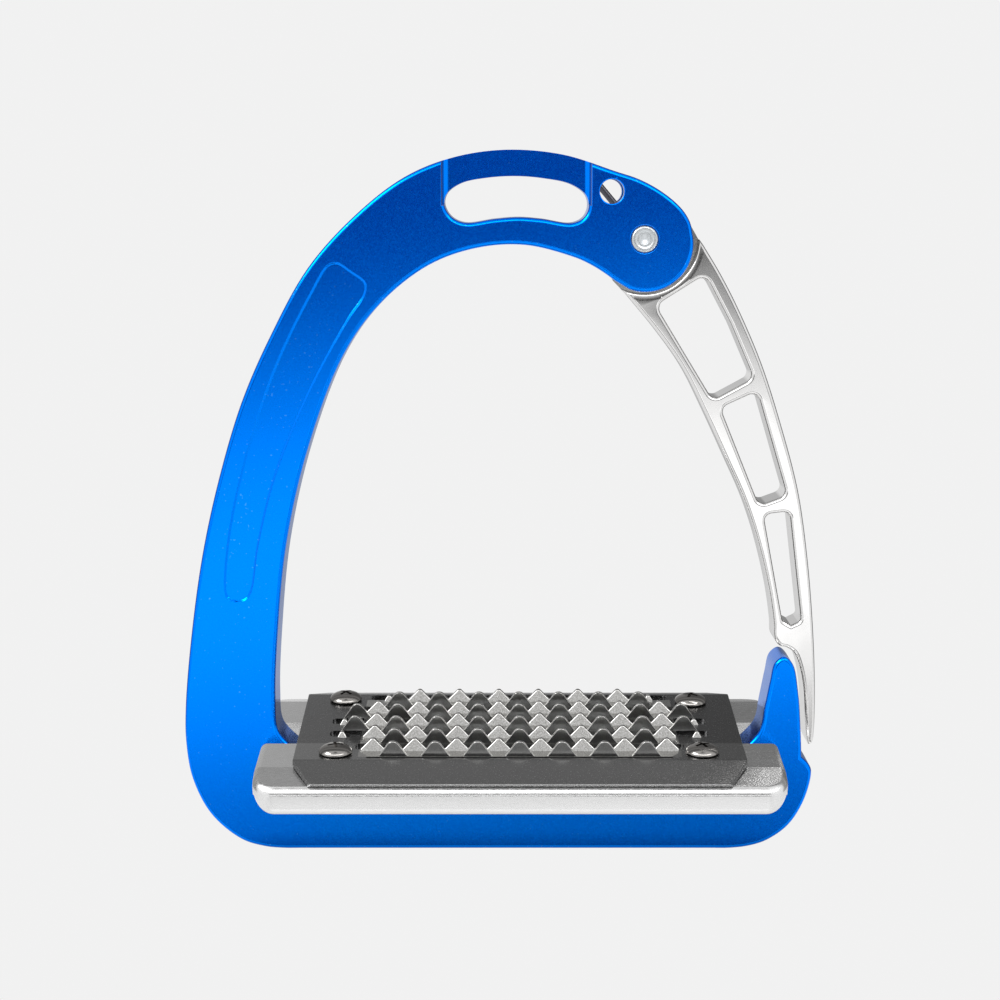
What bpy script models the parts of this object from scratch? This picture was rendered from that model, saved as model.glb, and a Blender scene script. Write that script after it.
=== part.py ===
"""Release-arm stirrup iron: anodised frame, hinged outer arm, tread base and grip plate.

X runs across the tread, Y from the front face to the back, Z up. The origin is in the middle of the
inner tread width, in the frame's middle plane, on its bottom face. Sizes below are millimetres.
"""

import math

import bmesh
import bpy
from mathutils import Matrix, Vector

MM = 0.001

# ---------------------------------------------------------------- driving dimensions (mm)
GAP = 0.3  # clearance between neighbouring pieces

FRAME_DEPTH = 14.0
FRAME_EDGE = 1.0  # radius of the frame's rims
BAR_TOP = 23.4  # top of the frame's bottom bar
BAR_RECESS = 2.3  # the leather bar is this much thinner on each side
PANEL_DEPTH = 0.5

ARM_DEPTH = 12.0
ARM_EDGE = 0.9
SEAT_R = 13.4  # the arm's shoulders run round the boss on this radius

PIVOT = (29.7, 152.5)
BOSS_CENTRE = (30.0, 151.3)
BOSS_R = 11.6
CHEEK_SLOT = 7.2  # width of the slot between the boss's two cheeks
HUB_T = 4.8
DRUM_R = 9.0
SIGHT_HOLE = (21.7, 164.0)
SIGHT_HOLE_R = 2.95

PIN_R = 2.4
PIN_HEAD_R = 3.17
PIN_HEAD_T = 1.1
PIN_TAIL_R = 1.6
BUSH_R = 3.7
WASHER_R = 8.0
WASHER_T = 0.6

WIRE_R = 0.85
COIL_R = 10.25
COIL_Y = -1.3
LEG_ANGLE = 130.0  # the spring's long leg points away from the pivot at this angle
LEG_END = 18.7
HOOK_ANGLE = 150.0  # its short leg turns in here, into the arm's drum
HOOK_END = 7.4

TREAD_X = -0.55
TREAD_Z = 28.15
TREAD_TILT = math.radians(6.5)
BASE_HALF_X = 64.7
BASE_HALF_Y = 32.5
BASE_FLAT_Y = 23.6
BASE_DROP = 2.3
BASE_BOTTOM = -9.2
BASE_CORNER = 5.5
NOTCH_X = 50.2
POCKET = (39.0, 22.6, 2.0)  # half length, half width, depth

PLATE_HALF_X = 55.2
PLATE_TOP = 2.0
PLATE_T = 1.5
PLATE_FOLD_Y = 23.8
FLANGE_Y = 33.2
FLANGE_Z = -0.9
FLANGE_TAPER = 6.2
EDGE_GRIND = 1.3  # the flange's edge is ground back this far underneath

ROW_PITCH = 8.97
ROW_CENTRE = -1.35
STRIP_HALF = 2.45
TOOTH_PITCH = 10.3
TOOTH_T = 1.1
FRONT_TOOTH = (3.6, 4.0)  # half width and height
FRONT_LEAN = math.radians(10)
BACK_TOOTH = (3.0, 2.85)
BACK_LEAN = math.radians(22)
END_TOOTH = (1.15, 1.5)
END_TEETH = ((-44.2, 1), (44.2, 1), (-44.2, 2), (44.2, 2), (-33.8, 4), (33.8, 4))  # where, in which row

PLATE_SCREWS = ((-45.1, -19.0), (44.7, -19.0), (-45.1, 19.2), (44.7, 17.4))
PLATE_SCREW_R = 1.95
PLATE_SCREW_END = -6.8
HEAD_R = 4.15
HEAD_H = 2.1
BASE_SCREW_X = 30.0
BASE_SCREW_R = 2.0
BASE_SCREW_HEAD_R = 3.6
BASE_SCREW_END = -15.5

FRONT = -FRAME_DEPTH / 2
BACK = FRAME_DEPTH / 2
CLEAR = 5.0  # how far a cutting tool runs past the wall it cuts

# ---------------------------------------------------------------- a clean scene
for leftover in list(bpy.data.objects):
    bpy.data.objects.remove(leftover, do_unlink=True)

scene = bpy.context.scene
scene.unit_settings.system = "METRIC"
parts = bpy.data.collections.new("stirrup_iron")
cutters = bpy.data.collections.new("cutters")
scene.collection.children.link(parts)
scene.collection.children.link(cutters)


# ---------------------------------------------------------------- outlines
def spline(points, steps=4):
    """Points along an open centripetal spline through the given ones, ends included."""
    pts = [Vector(p) for p in points]
    pts = [pts[0] * 2 - pts[1]] + pts + [pts[-1] * 2 - pts[-2]]
    out = []
    for p0, p1, p2, p3 in zip(pts, pts[1:], pts[2:], pts[3:]):
        t0 = 0.0
        t1 = t0 + math.sqrt((p1 - p0).length)
        t2 = t1 + math.sqrt((p2 - p1).length)
        t3 = t2 + math.sqrt((p3 - p2).length)
        for s in range(steps):
            t = t1 + (t2 - t1) * s / steps
            a1 = p0.lerp(p1, (t - t0) / (t1 - t0))
            a2 = p1.lerp(p2, (t - t1) / (t2 - t1))
            a3 = p2.lerp(p3, (t - t2) / (t3 - t2))
            b1 = a1.lerp(a2, (t - t0) / (t2 - t0))
            b2 = a2.lerp(a3, (t - t1) / (t3 - t1))
            out.append(tuple(b1.lerp(b2, (t - t1) / (t2 - t1))))
    out.append(tuple(pts[-2]))
    return out


def closed_spline(points, steps=3):
    """Points along a closed spline through the given ones."""
    count = len(points)
    wrapped = [points[(i - 2) % count] for i in range(count + 5)]
    return spline(wrapped, steps)[2 * steps : (count + 2) * steps]


def arc(centre, radius, start, stop, count):
    """Points on a circle from start to stop degrees, both included."""
    angles = [math.radians(start + (stop - start) * i / count) for i in range(count + 1)]
    return [(centre[0] + radius * math.cos(a), centre[1] + radius * math.sin(a)) for a in angles]


def corner_arc(before, point, after, radius, count):
    """The rounded corner at a point between its two neighbours."""
    a = (Vector(before) - point).normalized()
    b = (Vector(after) - point).normalized()
    half = a.angle(b) / 2
    centre = point + (a + b).normalized() * (radius / math.sin(half))
    start = point + a * (radius / math.tan(half)) - centre
    stop = point + b * (radius / math.tan(half)) - centre
    turn = -start.angle_signed(stop)
    return [centre + Matrix.Rotation(turn * k / count, 2) @ start for k in range(count + 1)]


def rounded(points, radii, count=4):
    """Closed polygon with rounded corners; a radius of zero leaves a corner as it is."""
    if not isinstance(radii, (list, tuple)):
        radii = [radii] * len(points)
    out = []
    for i, radius in enumerate(radii):
        point = Vector(points[i])
        if radius > 0:
            after = points[(i + 1) % len(points)]
            out += [tuple(p) for p in corner_arc(points[i - 1], point, after, radius, count)]
        else:
            out.append(tuple(point))
    return out


# ---------------------------------------------------------------- solids
def add(name, data, collection):
    obj = bpy.data.objects.new(name, data)
    collection.objects.link(obj)
    return obj


def weld(mesh, distance=0.00001):
    bm = bmesh.new()
    bm.from_mesh(mesh)
    bmesh.ops.remove_doubles(bm, verts=bm.verts, dist=distance)
    bmesh.ops.recalc_face_normals(bm, faces=bm.faces)
    bm.to_mesh(mesh)
    bm.free()


def merge_caps(mesh):
    """Make each of the two flat faces, front and back, as few faces as it can be."""
    bm = bmesh.new()
    bm.from_mesh(mesh)
    ends = (min(v.co.y for v in bm.verts), max(v.co.y for v in bm.verts))
    for end in ends:
        flat = {f for f in bm.faces if all(abs(v.co.y - end) < 1e-7 for v in f.verts)}
        inner = [e for e in bm.edges if len(e.link_faces) == 2 and flat.issuperset(e.link_faces)]
        for face in flat:
            for vertex in face.verts:
                vertex.co.y = end
        bmesh.ops.dissolve_limit(bm, angle_limit=0.001, edges=inner, verts=[])
    bm.to_mesh(mesh)
    bm.free()


def mesh_from_curve(name, curve):
    """The curve's mesh, with its caps welded on; the curve is removed."""
    holder = add(name + "_curve", curve, scene.collection)
    evaluated = holder.evaluated_get(bpy.context.evaluated_depsgraph_get())
    mesh = bpy.data.meshes.new_from_object(evaluated)
    mesh.name = name
    bpy.data.objects.remove(holder, do_unlink=True)
    bpy.data.curves.remove(curve)
    weld(mesh)
    return mesh


def outline_mesh(name, loops, thickness, edge=0.0):
    """Flat outline in X and Z, extruded evenly along Y, with rims rounded to radius edge."""
    curve = bpy.data.curves.new(name, "CURVE")
    curve.dimensions = "2D"
    curve.fill_mode = "BOTH"
    curve.extrude = (thickness / 2 - edge) * MM
    curve.bevel_depth = edge * MM
    curve.bevel_resolution = 1
    curve.offset = -edge * MM
    for loop in loops:
        line = curve.splines.new("POLY")
        line.points.add(len(loop) - 1)
        line.use_cyclic_u = True
        for point, (x, z) in zip(line.points, loop):
            point.co = (x * MM, z * MM, 0.0, 1.0)
    mesh = mesh_from_curve(name, curve)
    for vertex in mesh.vertices:
        x, z, y = vertex.co
        vertex.co = (x, -y, z)
    merge_caps(mesh)
    return mesh


def prism(name, loops, thickness, edge=0.0, collection=parts):
    return add(name, outline_mesh(name, loops, thickness, edge), collection)


def turned(name, profile, segments=32, collection=parts):
    """Turned about the object's Y axis from a profile of (radius, y) points.

    A profile that leaves the axis closes on itself and gives a ring.
    """
    mesh = bpy.data.meshes.new(name)
    edges = [(i, i + 1) for i in range(len(profile) - 1)]
    if profile[0][0] > 0:
        edges.append((len(profile) - 1, 0))
    mesh.from_pydata([(r * MM, y * MM, 0.0) for r, y in profile], edges, [])
    obj = add(name, mesh, collection)
    screw = obj.modifiers.new("turn", "SCREW")
    screw.axis = "Y"
    screw.steps = segments
    screw.render_steps = segments
    screw.use_merge_vertices = True
    screw.merge_threshold = 0.00001
    screw.use_smooth_shade = True
    return obj


def rod(name, radius, y0, y1, segments=28, collection=cutters):
    """Plain cylinder along the object's Y axis from y0 to y1."""
    bm = bmesh.new()
    bmesh.ops.create_cone(
        bm,
        cap_ends=True,
        segments=segments,
        radius1=radius * MM,
        radius2=radius * MM,
        depth=(y1 - y0) * MM,
        matrix=Matrix.Translation((0, (y0 + y1) / 2 * MM, 0)) @ Matrix.Rotation(math.pi / 2, 4, "X"),
    )
    mesh = bpy.data.meshes.new(name)
    bm.to_mesh(mesh)
    bm.free()
    return add(name, mesh, collection)


def box(name, low, high, collection=cutters):
    bm = bmesh.new()
    size = (Vector(high) - Vector(low)) * MM
    middle = (Vector(high) + Vector(low)) / 2 * MM
    matrix = Matrix.Translation(middle) @ Matrix.Diagonal((*size, 1))
    bmesh.ops.create_cube(bm, size=1.0, matrix=matrix)
    mesh = bpy.data.meshes.new(name)
    bm.to_mesh(mesh)
    bm.free()
    return add(name, mesh, collection)


def at(x=0.0, y=0.0, z=0.0):
    return Matrix.Translation((x * MM, y * MM, z * MM))


def place(obj, matrix):
    obj.matrix_world = matrix
    return obj


def cut(target, tool, operation="DIFFERENCE"):
    tool.hide_render = True
    tool.display_type = "WIRE"
    modifier = target.modifiers.new(tool.name, "BOOLEAN")
    modifier.operation = operation
    modifier.solver = "EXACT"
    modifier.object = tool


def origin_on_pivot(obj):
    """Put the object's origin on the arm's hinge without moving its shape."""
    hinge = at(PIVOT[0], 0, PIVOT[1])
    obj.data.transform(hinge.inverted())
    place(obj, hinge)


def finish(obj, name, colour, metallic, roughness):
    shader_material = bpy.data.materials.new(name)
    shader_material.use_nodes = True
    shader = shader_material.node_tree.nodes["Principled BSDF"]
    shader.inputs["Base Color"].default_value = (*colour, 1.0)
    shader.inputs["Metallic"].default_value = metallic
    shader.inputs["Roughness"].default_value = roughness
    obj.data.materials.append(shader_material)
    if obj.data.polygons:
        obj.data.shade_smooth()
        obj.data.set_sharp_from_angle(angle=math.radians(35))


BLUE = (0.005, 0.16, 0.75)
POLISHED = (0.80, 0.80, 0.80)
SATIN = (0.22, 0.22, 0.22)
ZINC = (0.75, 0.77, 0.80)
STEEL = (0.45, 0.45, 0.46)
BRONZE = (0.62, 0.42, 0.20)

HINGE = at(PIVOT[0], 0, PIVOT[1])
UPRIGHT = Matrix.Rotation(math.pi / 2, 4, "X")  # turns a tool's Y axis to point up
FLAT = Matrix.Rotation(-math.pi / 2, 4, "X")  # lays an outline's X and Z down into X and Y
ENDWISE = Matrix.Rotation(math.pi / 2, 4, "Z")  # runs an outline's thickness along X
TREAD = at(TREAD_X, 0, TREAD_Z) @ Matrix.Rotation(TREAD_TILT, 4, "X")


def radial(angle):
    """Frame whose Y axis points away from the pivot at an angle, in the spring's plane."""
    turn = Matrix.Rotation(math.pi / 2 - math.radians(angle), 4, "Y")
    return at(PIVOT[0], COIL_Y, PIVOT[1]) @ turn @ UPRIGHT


# ---------------------------------------------------------------- frame
def frame_outline():
    left_side = spline(
        [
            (22.9, 168.7),
            (10.0, 172.8),
            (-4.0, 174.0),
            (-17.0, 172.1),
            (-28.6, 167.4),
            (-40.5, 158.3),
            (-52.1, 145.6),
            (-61.6, 128.8),
            (-68.8, 112.7),
            (-74.7, 93.7),
            (-79.1, 74.7),
            (-82.3, 53.6),
            (-84.0, 35.8),
            (-84.0, 27.0),
            (-82.5, 17.9),
            (-78.0, 8.8),
            (-70.6, 2.4),
            (-62.5, 0.0),
        ]
    )
    lower_right = spline(
        [(54.5, 0.0), (61.6, 1.8), (67.2, 6.1), (71.1, 12.7), (72.7, 20.0), (71.9, 21.9), (70.2, 23.6)],
        3,
    )
    horn = spline(
        [
            (70.2, 23.6),
            (69.9, 30.0),
            (69.1, 40.0),
            (67.6, 47.3),
            (65.4, 49.2),
            (63.1, 47.6),
            (62.0, 43.0),
            (60.7, 36.2),
            (59.6, 30.5),
            (57.0, 27.2),
            (53.6, 24.5),
            (50.0, BAR_TOP),
            (47.5, BAR_TOP),
        ],
        3,
    )
    inside = spline(
        [
            (-48.0, BAR_TOP),
            (-50.5, BAR_TOP),
            (-54.8, 24.5),
            (-58.4, 27.2),
            (-60.9, 30.5),
            (-61.5, 38.0),
            (-60.8, 53.6),
            (-58.3, 77.2),
            (-52.6, 101.4),
            (-43.6, 124.5),
            (-34.6, 136.9),
            (-22.8, 146.2),
            (-11.0, 150.4),
            (0.8, 151.1),
            (12.5, 148.2),
            (16.2, 146.6),
            (19.3, 144.8),
            (22.7, 142.4),
        ]
    )
    boss = arc(BOSS_CENTRE, BOSS_R, -110.0, 10.0, 14)
    crown = spline(
        [boss[-1], (40.8, 156.3), (39.3, 159.0), (36.6, 161.8), (32.4, 164.8), (27.8, 167.1), (22.9, 168.7)],
        2,
    )
    return left_side + lower_right + horn[1:] + inside + boss + crown[1:-1]


def leather_slot_outline():
    return closed_spline(
        [
            (-18.9, 161.0),
            (-17.3, 158.0),
            (-14.0, 156.5),
            (-6.6, 157.4),
            (-1.0, 157.8),
            (4.6, 157.4),
            (12.0, 156.4),
            (14.9, 157.7),
            (16.1, 160.3),
            (15.4, 163.2),
            (11.7, 165.8),
            (5.0, 167.2),
            (-1.5, 167.7),
            (-8.5, 167.3),
            (-14.8, 166.0),
            (-18.2, 163.6),
        ]
    )


def panel_outline():
    return closed_spline(
        [
            (-47.3, 146.2),
            (-51.2, 140.0),
            (-59.9, 122.6),
            (-67.0, 102.6),
            (-72.1, 81.7),
            (-73.6, 66.3),
            (-73.0, 64.2),
            (-70.8, 63.2),
            (-68.4, 63.8),
            (-67.0, 66.0),
            (-65.2, 77.2),
            (-60.6, 95.0),
            (-51.9, 115.8),
            (-42.3, 133.2),
            (-38.3, 139.2),
            (-38.2, 142.0),
            (-41.6, 144.7),
            (-45.0, 146.8),
        ]
    )


def cheek_slot_outline():
    """Open to the right and below; rounded behind the sight hole at its upper left."""
    outline = [(70.0, 125.0), (70.0, 166.4), (24.6, 166.4)]
    outline += arc(SIGHT_HOLE, SIGHT_HOLE_R + 0.45, 52.0, 180.0, 8)
    return outline + [(18.1, 160.5), (17.7, 157.0), (17.7, 125.0)]


def make_frame():
    frame = prism("frame", [frame_outline(), leather_slot_outline()], FRAME_DEPTH, FRAME_EDGE)

    panel = prism("panel_recess", [panel_outline()], CLEAR, collection=cutters)
    cut(frame, place(panel, at(0, FRONT - CLEAR / 2 + PANEL_DEPTH, 0)))

    bar_left, bar_right, bar_low, above = -18.8, 16.1, 161.4, 182.0
    front_recess = box(
        "leather_bar_recess_front",
        (bar_left, FRONT - CLEAR, bar_low),
        (bar_right, FRONT + BAR_RECESS, above),
    )
    back_recess = box(
        "leather_bar_recess_back",
        (bar_left, BACK - BAR_RECESS, bar_low),
        (bar_right, BACK + CLEAR, above),
    )
    cut(frame, front_recess)
    cut(frame, back_recess)

    head_seat = PIN_HEAD_R + GAP
    bore = PIN_R + GAP
    step = BACK - PIN_HEAD_T - GAP
    pivot_bore = turned(
        "pivot_bore",
        [
            (0, BACK + CLEAR),
            (head_seat, BACK + CLEAR),
            (head_seat, step),
            (bore, step),
            (bore, -step),
            (head_seat, -step),
            (head_seat, FRONT - CLEAR),
            (0, FRONT - CLEAR),
        ],
        28,
        cutters,
    )
    cut(frame, place(pivot_bore, HINGE))
    sight_hole = rod("sight_hole", SIGHT_HOLE_R, FRONT - CLEAR, BACK + CLEAR)
    cut(frame, place(sight_hole, at(SIGHT_HOLE[0], 0, SIGHT_HOLE[1])))
    cut(frame, prism("cheek_slot", [cheek_slot_outline()], CHEEK_SLOT, collection=cutters))

    leg_bore = rod("spring_leg_bore", WIRE_R + GAP, 15.5, LEG_END + 0.5, 16)
    cut(frame, place(leg_bore, radial(LEG_ANGLE)))

    for side, sign in (("left", -1), ("right", 1)):
        thread = rod("bar_thread_" + side, BASE_SCREW_R + GAP, BASE_SCREW_END - 1, CLEAR, 24)
        cut(frame, place(thread, TREAD @ at(sign * BASE_SCREW_X) @ UPRIGHT))
    finish(frame, "blue_anodised", BLUE, 1.0, 0.35)


# ---------------------------------------------------------------- release arm
def arm_outline():
    outer = spline(
        [
            (44.1, 151.0),
            (48.1, 144.5),
            (52.6, 136.0),
            (58.6, 122.4),
            (63.6, 107.5),
            (68.2, 90.8),
            (70.9, 73.6),
            (72.6, 56.0),
            (73.4, 40.0),
            (73.3, 30.0),
            (72.9, 27.2),
            (72.0, 26.6),
            (71.4, 28.0),
        ],
        3,
    )
    inner = spline(
        [
            (71.4, 28.0),
            (71.0, 34.0),
            (70.5, 41.0),
            (69.4, 46.6),
            (68.0, 50.0),
            (66.2, 51.3),
            (64.4, 51.8),
            (63.1, 53.4),
            (62.8, 57.0),
            (61.4, 66.0),
            (58.2, 78.9),
            (54.8, 88.7),
            (50.4, 98.4),
            (44.9, 110.2),
            (39.5, 120.8),
            (33.6, 129.2),
            (25.6, 138.9),
        ],
        3,
    )
    tongue = [(22.3, 142.3), (20.6, 146.6)] + arc(PIVOT, DRUM_R, 194.0, 64.0, 13)
    tongue += [(37.2, 160.0), (40.8, 156.4), (43.1, 152.4)]
    return outer + inner[1:] + tongue


def arm_windows():
    upper = [(32.7, 136.4), (44.6, 143.9), (50.9, 132.0), (56.7, 118.7), (46.8, 113.3)]
    middle = [(48.8, 111.3), (57.7, 115.4), (65.4, 89.7), (58.6, 87.2)]
    lower = [(59.8, 84.8), (66.2, 85.6), (69.5, 58.2), (67.0, 57.0), (64.9, 58.2)]
    return [
        rounded(upper, [2.2, 2.2, 0, 2.0, 2.0]),
        rounded(middle, 2.0),
        rounded(lower, [1.8, 1.8, 1.2, 0, 1.2]),
    ]


def make_arm():
    arm = prism("release_arm", [arm_outline()] + arm_windows(), ARM_DEPTH, ARM_EDGE)
    origin_on_pivot(arm)

    # the tongue between the cheeks is thinner than the arm
    hub_face = HUB_T / 2
    cut(arm, place(rod("arm_seat_front", SEAT_R, -ARM_DEPTH, -hub_face, 72), HINGE))
    cut(arm, place(rod("arm_seat_back", SEAT_R, hub_face, ARM_DEPTH, 72), HINGE))
    cut(arm, place(rod("hub_bore", BUSH_R + GAP, -hub_face - 3, hub_face + 3), HINGE))

    groove_out = COIL_R + WIRE_R + 0.4
    groove_in = DRUM_R - 0.1
    groove_floor = COIL_Y + WIRE_R + 0.35
    groove = turned(
        "spring_groove",
        [
            (groove_in, groove_floor),
            (groove_out, groove_floor),
            (groove_out, -hub_face - 2),
            (groove_in, -hub_face - 2),
        ],
        48,
        cutters,
    )
    cut(arm, place(groove, HINGE))
    notch = rod("spring_hook_notch", WIRE_R + 0.35, HOOK_END - 0.5, DRUM_R + 1.5, 16)
    cut(arm, place(notch, radial(HOOK_ANGLE)))
    finish(arm, "polished_alloy_arm", POLISHED, 1.0, 0.12)


# ---------------------------------------------------------------- pivot
def make_pivot():
    hub_face = HUB_T / 2
    washer_in = hub_face + GAP
    washer_out = washer_in + WASHER_T
    bore = PIN_R + GAP
    head_back = FRONT + PIN_HEAD_T
    pin = turned(
        "pivot_pin",
        [
            (0, BACK + 0.1),
            (PIN_TAIL_R, BACK + 0.1),
            (PIN_TAIL_R, 5.3),
            (PIN_R, 5.3),
            (PIN_R, head_back),
            (PIN_HEAD_R, head_back),
            (PIN_HEAD_R, FRONT + 0.1),
            (2.8, FRONT - 0.3),
            (2.0, FRONT - 0.2),
            (1.8, FRONT + 0.1),
            (1.5, FRONT - 0.1),
            (0.5, FRONT + 0.1),
            (0, FRONT + 0.35),
        ],
    )
    ring_in = PIN_TAIL_R + GAP
    retainer = turned(
        "pivot_retainer",
        [
            (ring_in, BACK + 0.2),
            (PIN_HEAD_R - 0.3, BACK + 0.2),
            (PIN_HEAD_R, BACK - 0.1),
            (PIN_HEAD_R, BACK - PIN_HEAD_T),
            (ring_in, BACK - PIN_HEAD_T),
        ],
    )

    def ring(name, inner, outer, y0, y1):
        return turned(name, [(inner, y1), (outer, y1), (outer, y0), (inner, y0)])

    bush = ring("hub_bush", bore, BUSH_R, -hub_face, hub_face)
    washer_front = ring("thrust_washer_front", bore, WASHER_R, -washer_out, -washer_in)
    washer_back = ring("thrust_washer_back", bore, WASHER_R, washer_in, washer_out)
    for piece in (pin, retainer, bush, washer_front, washer_back):
        place(piece, HINGE)
    finish(pin, "pin_zinc", ZINC, 1.0, 0.25)
    finish(retainer, "retainer_zinc", ZINC, 1.0, 0.30)
    finish(bush, "bush_bronze", BRONZE, 1.0, 0.35)
    finish(washer_front, "washer_front_steel", STEEL, 1.0, 0.30)
    finish(washer_back, "washer_back_steel", STEEL, 1.0, 0.30)


# ---------------------------------------------------------------- return spring
def spring_path():
    """From the anchored leg's end, nearly once round the drum, to the hook in the drum."""
    def polar(radius, angle):
        turn = math.radians(angle)
        return Vector((radius * math.cos(turn), radius * math.sin(turn)))

    steps = 24
    sweep = HOOK_ANGLE - 360.0 - LEG_ANGLE
    coil = [polar(COIL_R, LEG_ANGLE + sweep * i / steps) for i in range(steps + 1)]
    leg = polar(LEG_END, LEG_ANGLE)
    hook = polar(HOOK_END, HOOK_ANGLE)
    bend = 1.1
    first = corner_arc(leg, coil[0], coil[1], bend, 5)
    last = corner_arc(coil[-2], coil[-1], hook, bend, 5)
    return [leg] + first + coil[1:-1] + last + [hook]


def make_spring():
    wire = bpy.data.curves.new("return_spring", "CURVE")
    wire.dimensions = "3D"
    wire.bevel_depth = WIRE_R * MM
    wire.bevel_resolution = 2
    wire.use_fill_caps = True
    path = spring_path()
    line = wire.splines.new("POLY")
    line.points.add(len(path) - 1)
    for point, (x, z) in zip(line.points, path):
        point.co = (x * MM, COIL_Y * MM, z * MM, 1.0)
    spring = add("return_spring", mesh_from_curve("return_spring", wire), parts)
    place(spring, HINGE)
    finish(spring, "spring_wire", STEEL, 1.0, 0.25)


# ---------------------------------------------------------------- tread base
def round_ends(mesh, radius):
    """Round the base's upright corners and the edges where its underside meets its ends."""
    bm = bmesh.new()
    bm.from_mesh(mesh)
    low = min(v.co.z for v in bm.verts) + 0.01 * MM
    ends = []
    for edge in bm.edges:
        a, b = (v.co for v in edge.verts)
        across = abs(a.y - b.y) < 0.01 * MM
        upright = abs(a.x - b.x) < 0.01 * MM and abs(a.z - b.z) > 0.01 * MM
        if across and (upright or (a.z < low and b.z < low)):
            ends.append(edge)
    bmesh.ops.bevel(bm, geom=ends, offset=radius * MM, segments=4, profile=0.5, affect="EDGES")
    bm.to_mesh(mesh)
    bm.free()


def make_base():
    section = [
        (-BASE_FLAT_Y, 0.0),
        (BASE_FLAT_Y, 0.0),
        (BASE_HALF_Y, -BASE_DROP),
        (BASE_HALF_Y, BASE_BOTTOM),
        (-BASE_HALF_Y, BASE_BOTTOM),
        (-BASE_HALF_Y, -BASE_DROP),
    ]
    base = prism("tread_base", [section], BASE_HALF_X * 2)
    round_ends(base.data, BASE_CORNER)
    place(base, TREAD @ ENDWISE)
    rims = base.modifiers.new("rims", "BEVEL")
    rims.limit_method = "ANGLE"
    rims.angle_limit = math.radians(30)
    rims.width = 1.0 * MM
    rims.segments = 2

    half_x, half_y, depth = POCKET
    corners = [(-half_x, -half_y), (half_x, -half_y), (half_x, half_y), (-half_x, half_y)]
    pocket = prism("base_pocket", [rounded(corners, 3.0)], depth * 2, collection=cutters)
    cut(base, place(pocket, TREAD @ FLAT))

    far = BASE_HALF_X + CLEAR
    side = BACK + GAP
    cut(base, box("bar_channel", (-far, -side, 0), (far, side, BAR_TOP + GAP)))
    side = BACK + 0.45
    top = TREAD_Z + 3 * CLEAR
    cut(base, box("end_notch_left", (-far, -side, 10), (TREAD_X - NOTCH_X, side, top)))
    cut(base, box("end_notch_right", (TREAD_X + NOTCH_X, -side, 10), (far, side, top)))

    for i, (x, y) in enumerate(PLATE_SCREWS):
        thread = rod("base_thread_%d" % (i + 1), PLATE_SCREW_R + GAP, PLATE_SCREW_END - 0.8, 2, 24)
        cut(base, place(thread, TREAD @ at(x, y) @ UPRIGHT))
    for name, sign in (("left", -1), ("right", 1)):
        hole = rod("base_clearance_" + name, BASE_SCREW_R + GAP, -8, 4, 24)
        cut(base, place(hole, TREAD @ at(sign * BASE_SCREW_X) @ UPRIGHT))
    finish(base, "polished_alloy_base", POLISHED, 1.0, 0.15)


# ---------------------------------------------------------------- grip plate
def plate_section():
    """Flat sheet with a flange folded down along its front and back edges."""
    along = Vector((FLANGE_Y - PLATE_FOLD_Y, FLANGE_Z - PLATE_TOP)).normalized()
    half_fold = math.atan2(-along.y, along.x) / 2
    fold_under = PLATE_FOLD_Y - PLATE_T * math.tan(half_fold)
    tip_y = FLANGE_Y + along.y * PLATE_T - along.x * EDGE_GRIND
    tip_z = FLANGE_Z - along.x * PLATE_T - along.y * EDGE_GRIND
    half = [
        (PLATE_FOLD_Y, PLATE_TOP),
        (FLANGE_Y, FLANGE_Z),
        (tip_y, tip_z),
        (fold_under, PLATE_TOP - PLATE_T),
    ]
    return half + [(-y, z) for y, z in reversed(half)]


def front_tooth(x, half, height):
    """Outline of a rounded tooth and of the root that joins it to the sheet."""
    right = [(half, -0.9), (half, 0.0), (1.05, height - 0.5), (0.5, height - 0.1)]
    left = [(-px, pz) for px, pz in reversed(right)]
    return [(x + px, pz) for px, pz in right + left]


def back_tooth(x, half, height):
    """The same for a lower, more pointed tooth with short upright sides."""
    right = [(half, -0.9), (half, 0.15 * height), (0.6, height - 0.25), (0.25, height)]
    left = [(-px, pz) for px, pz in reversed(right)]
    return [(x + px, pz) for px, pz in right + left]


def tooth_row(name, outlines, y, facing, lean):
    """Teeth along one edge of a strip, leaning away from it."""
    mesh = outline_mesh(name, outlines, TOOTH_T)
    slant = Matrix.Shear("XY", 4, (0.0, facing * math.tan(lean)))
    middle = y - facing * (TOOTH_T / 2 + 0.06)
    mesh.transform(at(0, middle, PLATE_TOP) @ slant)
    return mesh


def make_teeth():
    """Every tooth, as one tool that is joined to the sheet."""
    bm = bmesh.new()
    for row in range(5):
        y = ROW_CENTRE + ROW_PITCH * (row - 2)
        reach = 4 if row in (2, 3) else 3
        columns = [TOOTH_PITCH * j for j in range(-reach, reach + 1)]
        outlines = [front_tooth(x, *FRONT_TOOTH) for x in columns]
        bm.from_mesh(tooth_row("front_row", outlines, y - STRIP_HALF, -1, FRONT_LEAN))
        reach = 3 if row == 4 else 4
        columns = [TOOTH_PITCH * (j + 0.5) for j in range(-reach, reach)]
        outlines = [back_tooth(x, *BACK_TOOTH) for x in columns]
        outlines += [back_tooth(x, *END_TOOTH) for x, end_row in END_TEETH if end_row == row]
        bm.from_mesh(tooth_row("back_row", outlines, y + STRIP_HALF, 1, BACK_LEAN))
    mesh = bpy.data.meshes.new("teeth")
    bm.to_mesh(mesh)
    bm.free()
    return add("teeth", mesh, cutters)


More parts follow.
